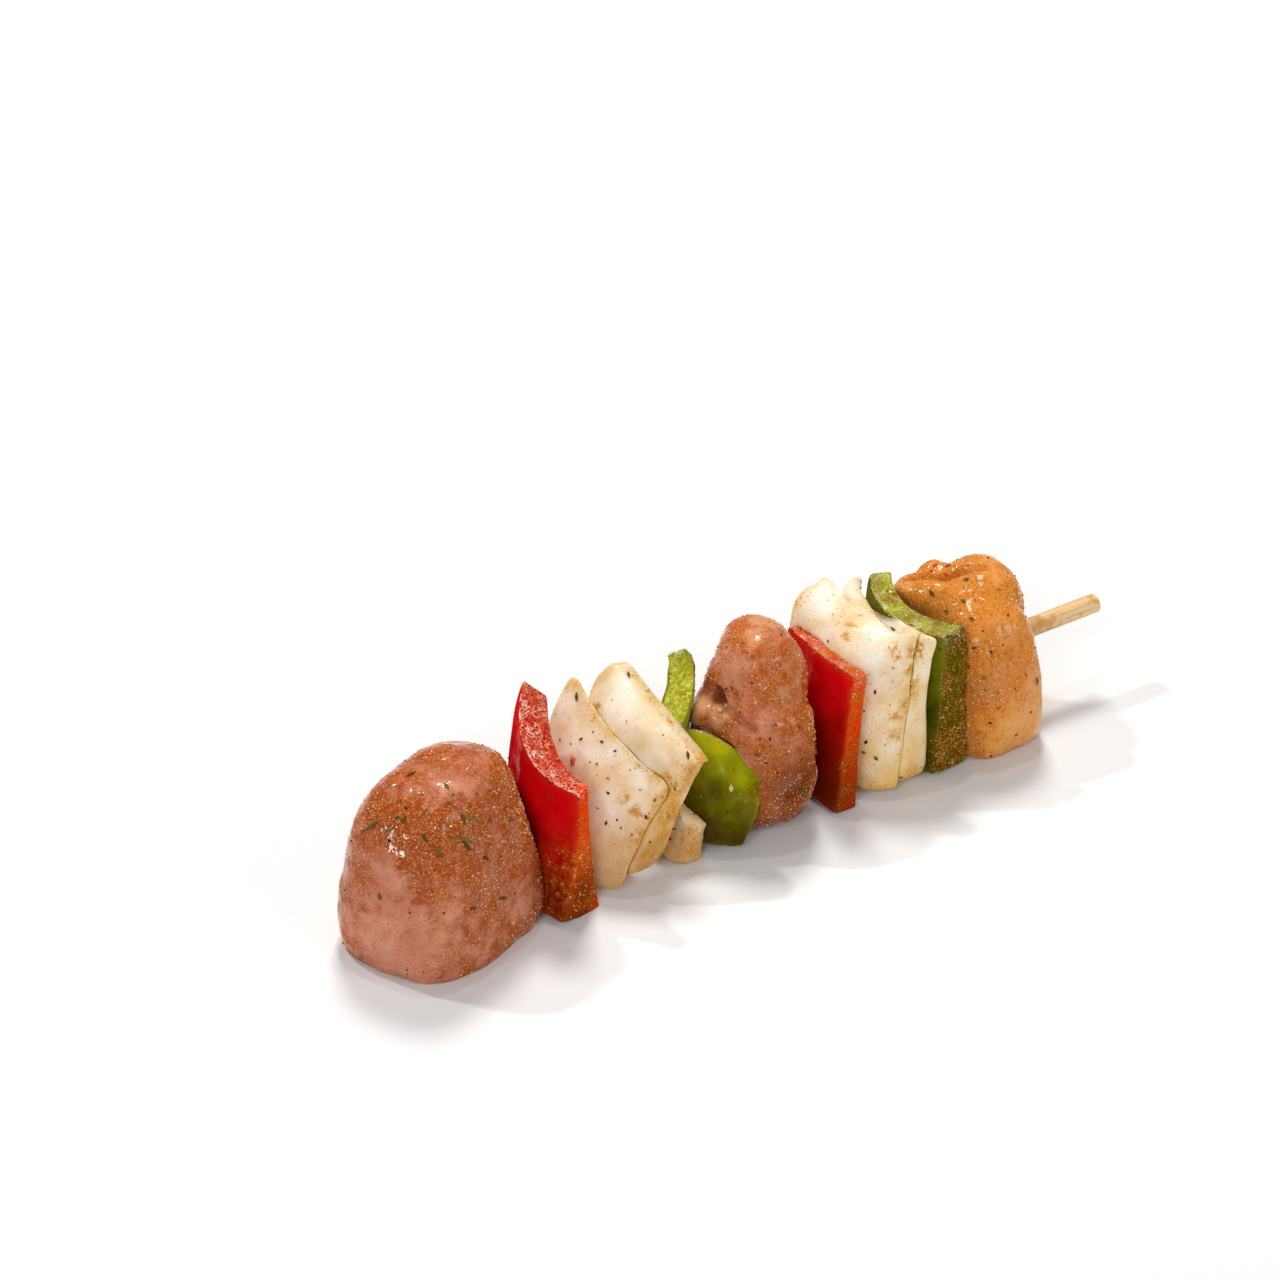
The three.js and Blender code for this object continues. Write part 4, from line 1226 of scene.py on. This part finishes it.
def seen_between(x_1, y_1, x_2, y_2):
    """The middle of a strip seen between two pixels, which way is out, and its whole run."""
    middle, out = seen_at((x_1 + x_2) / 2, (y_1 + y_2) / 2)
    rays = [view_ray(x_1, y_1), view_ray(x_2, y_2)]
    first, last = (EYE + ray * ((middle - EYE) @ out) / (ray @ out) for ray in rays)
    return middle, out, last - first


def laid(pattern, rows, seed):
    """Copies of a pattern grain pressed on the food: place, way out, way along, length and width."""
    chance = np.random.default_rng(seed)
    shape = np.array([v.co for v in pattern.data.vertices]) / MM
    sides = [tuple(face.vertices) for face in pattern.data.polygons]
    shells = []
    for middle, out, ahead, length, width in rows:
        ahead = chance.normal(size=3) if ahead is None else ahead
        ahead = ahead - (ahead @ out) * out
        ahead = ahead / np.linalg.norm(ahead)
        axes = np.stack([ahead, np.cross(out, ahead), out])
        points = middle + out * width * 0.12 + (shape * (length, width, width)) @ axes
        shells.append((points, sides, {"tint": np.full(len(points), chance.random())}))
    return join_shells(shells)


def strips(rows, width, longest=6.0):
    """Rows for leaves, stems and seeds, whose pattern is two long."""
    seen = [seen_between(*row) for row in rows]
    return [(*row, min(longest, float(np.linalg.norm(row[2]))) / 2, width) for row in seen]


def crumbs(rows, slimness):
    """Rows for specks and crumbs, each turned by chance."""
    return [(*seen_at(across, down), None, size, size * slimness) for across, down, size in rows]


def laid_piece(name, shell):
    """A piece made of grains laid one by one."""
    points, faces, values = shell
    piece = plain_mesh(name, points, faces)
    give(piece, values)
    return piece


def add_laid(piece, shell):
    """Joins more grains to a piece of them."""
    more = laid_piece("more_" + piece.name, shell)
    shape = bmesh.new()
    shape.from_mesh(piece.data)
    shape.from_mesh(more.data)
    shape.to_mesh(piece.data)
    shape.free()
    bpy.data.objects.remove(more)


EYE = (np.array(camera.matrix_world.translation) - ZERO) / MM
specks, leaves = crumbs(PEPPER_SPECKS, 0.55), strips(HERB_LEAVES, 1.0) + strips(HERB_STEMS, 0.3)
laid_already = kdtree.KDTree(len(specks + leaves))
for i, row in enumerate(specks + leaves):
    laid_already.insert(row[0], i)
laid_already.balance()
skin = joined_food()
chip, splinter, flake = chip_shape("chip", 0.08), chip_shape("splinter", 0.16), flake_shape("flake")
paprika = grain_material(
    "paprika", 0.3, 0.5, 0.5,
    (0.0, 0.36, 0.08, 0.008), (0.35, 0.60, 0.19, 0.02), (0.7, 0.78, 0.34, 0.05), (1.0, 0.90, 0.52, 0.14))
# The palest mustard tones are lighter than the seeds themselves, partly a painted glint.
mustard = grain_material(
    "mustard", 0.15, 1.0, 0.5, (0.0, 0.72, 0.28, 0.03), (0.45, 0.92, 0.52, 0.12), (0.8, 1.0, 0.88, 0.58))
cracked = grain_material(
    "cracked_pepper", 0.7, 0.0, 0.0,
    (0.0, 0.045, 0.016, 0.005), (0.7, 0.10, 0.036, 0.010), (1.0, 0.20, 0.085, 0.02))
herb = grain_material(
    "herbs", 0.7, 0.0, 0.1, (0.0, 0.05, 0.045, 0.01), (0.5, 0.11, 0.10, 0.022), (1.0, 0.20, 0.18, 0.05))
garlic = grain_material(
    "garlic", 0.35, 0.3, 0.5, (0.0, 0.62, 0.42, 0.12), (0.5, 0.80, 0.62, 0.26), (1.0, 0.92, 0.80, 0.48))
chilli = grain_material(
    "chilli", 0.3, 0.4, 0.5, (0.0, 0.38, 0.03, 0.004), (0.5, 0.60, 0.07, 0.008), (1.0, 0.75, 0.16, 0.02))
seed_coat = grain_material("seed_coat", 0.4, 0.1, 0.5, (0.0, 0.60, 0.50, 0.14), (1.0, 0.72, 0.62, 0.24))

strew("paprika_grains", chip, paprika, {
    "Grains per square metre": 7.5e5, "Least spice": 0.1, "Smallest": 0.2, "Largest": 0.55,
    "Lift": 0.00003, "Seed": 3})
strew("mustard_grains", splinter, mustard, {
    "Grains per square metre": 9e5, "Smallest": 0.18, "Largest": 0.5, "Lift": 0.00006, "Seed": 5})
speck_piece = strew("pepper_specks", chip, cracked, {
    "Where": "everywhere", "Grains per square metre": 1.5e4, "Smallest": 0.3, "Largest": 0.8,
    "Lift": 0.00005, "Seed": 8})
add_laid(speck_piece, laid(chip, specks, 21))
leaf_piece = strew("herb_flakes", flake, herb, {
    "Where": "everywhere", "Grains per square metre": 4.0e3, "Smallest": 0.4, "Largest": 1.2,
    "Flat": True, "Seed": 12})
add_laid(leaf_piece, laid(flake, leaves, 22))
for name, shell, material in (
        ("garlic_crumbs", laid(splinter, crumbs(GARLIC_CRUMBS, 1.0), 23), garlic),
        ("chilli_flakes", laid(chip, crumbs(CHILLI_FLAKES, 0.7), 24), chilli),
        ("pepper_seeds", laid(flake, strips(SEEDS, 1.4), 25), seed_coat)):
    finish_piece(laid_piece(name, shell), material)
for pattern in (chip, splinter, flake):
    bpy.data.objects.remove(pattern)
bpy.data.objects.remove(skin)
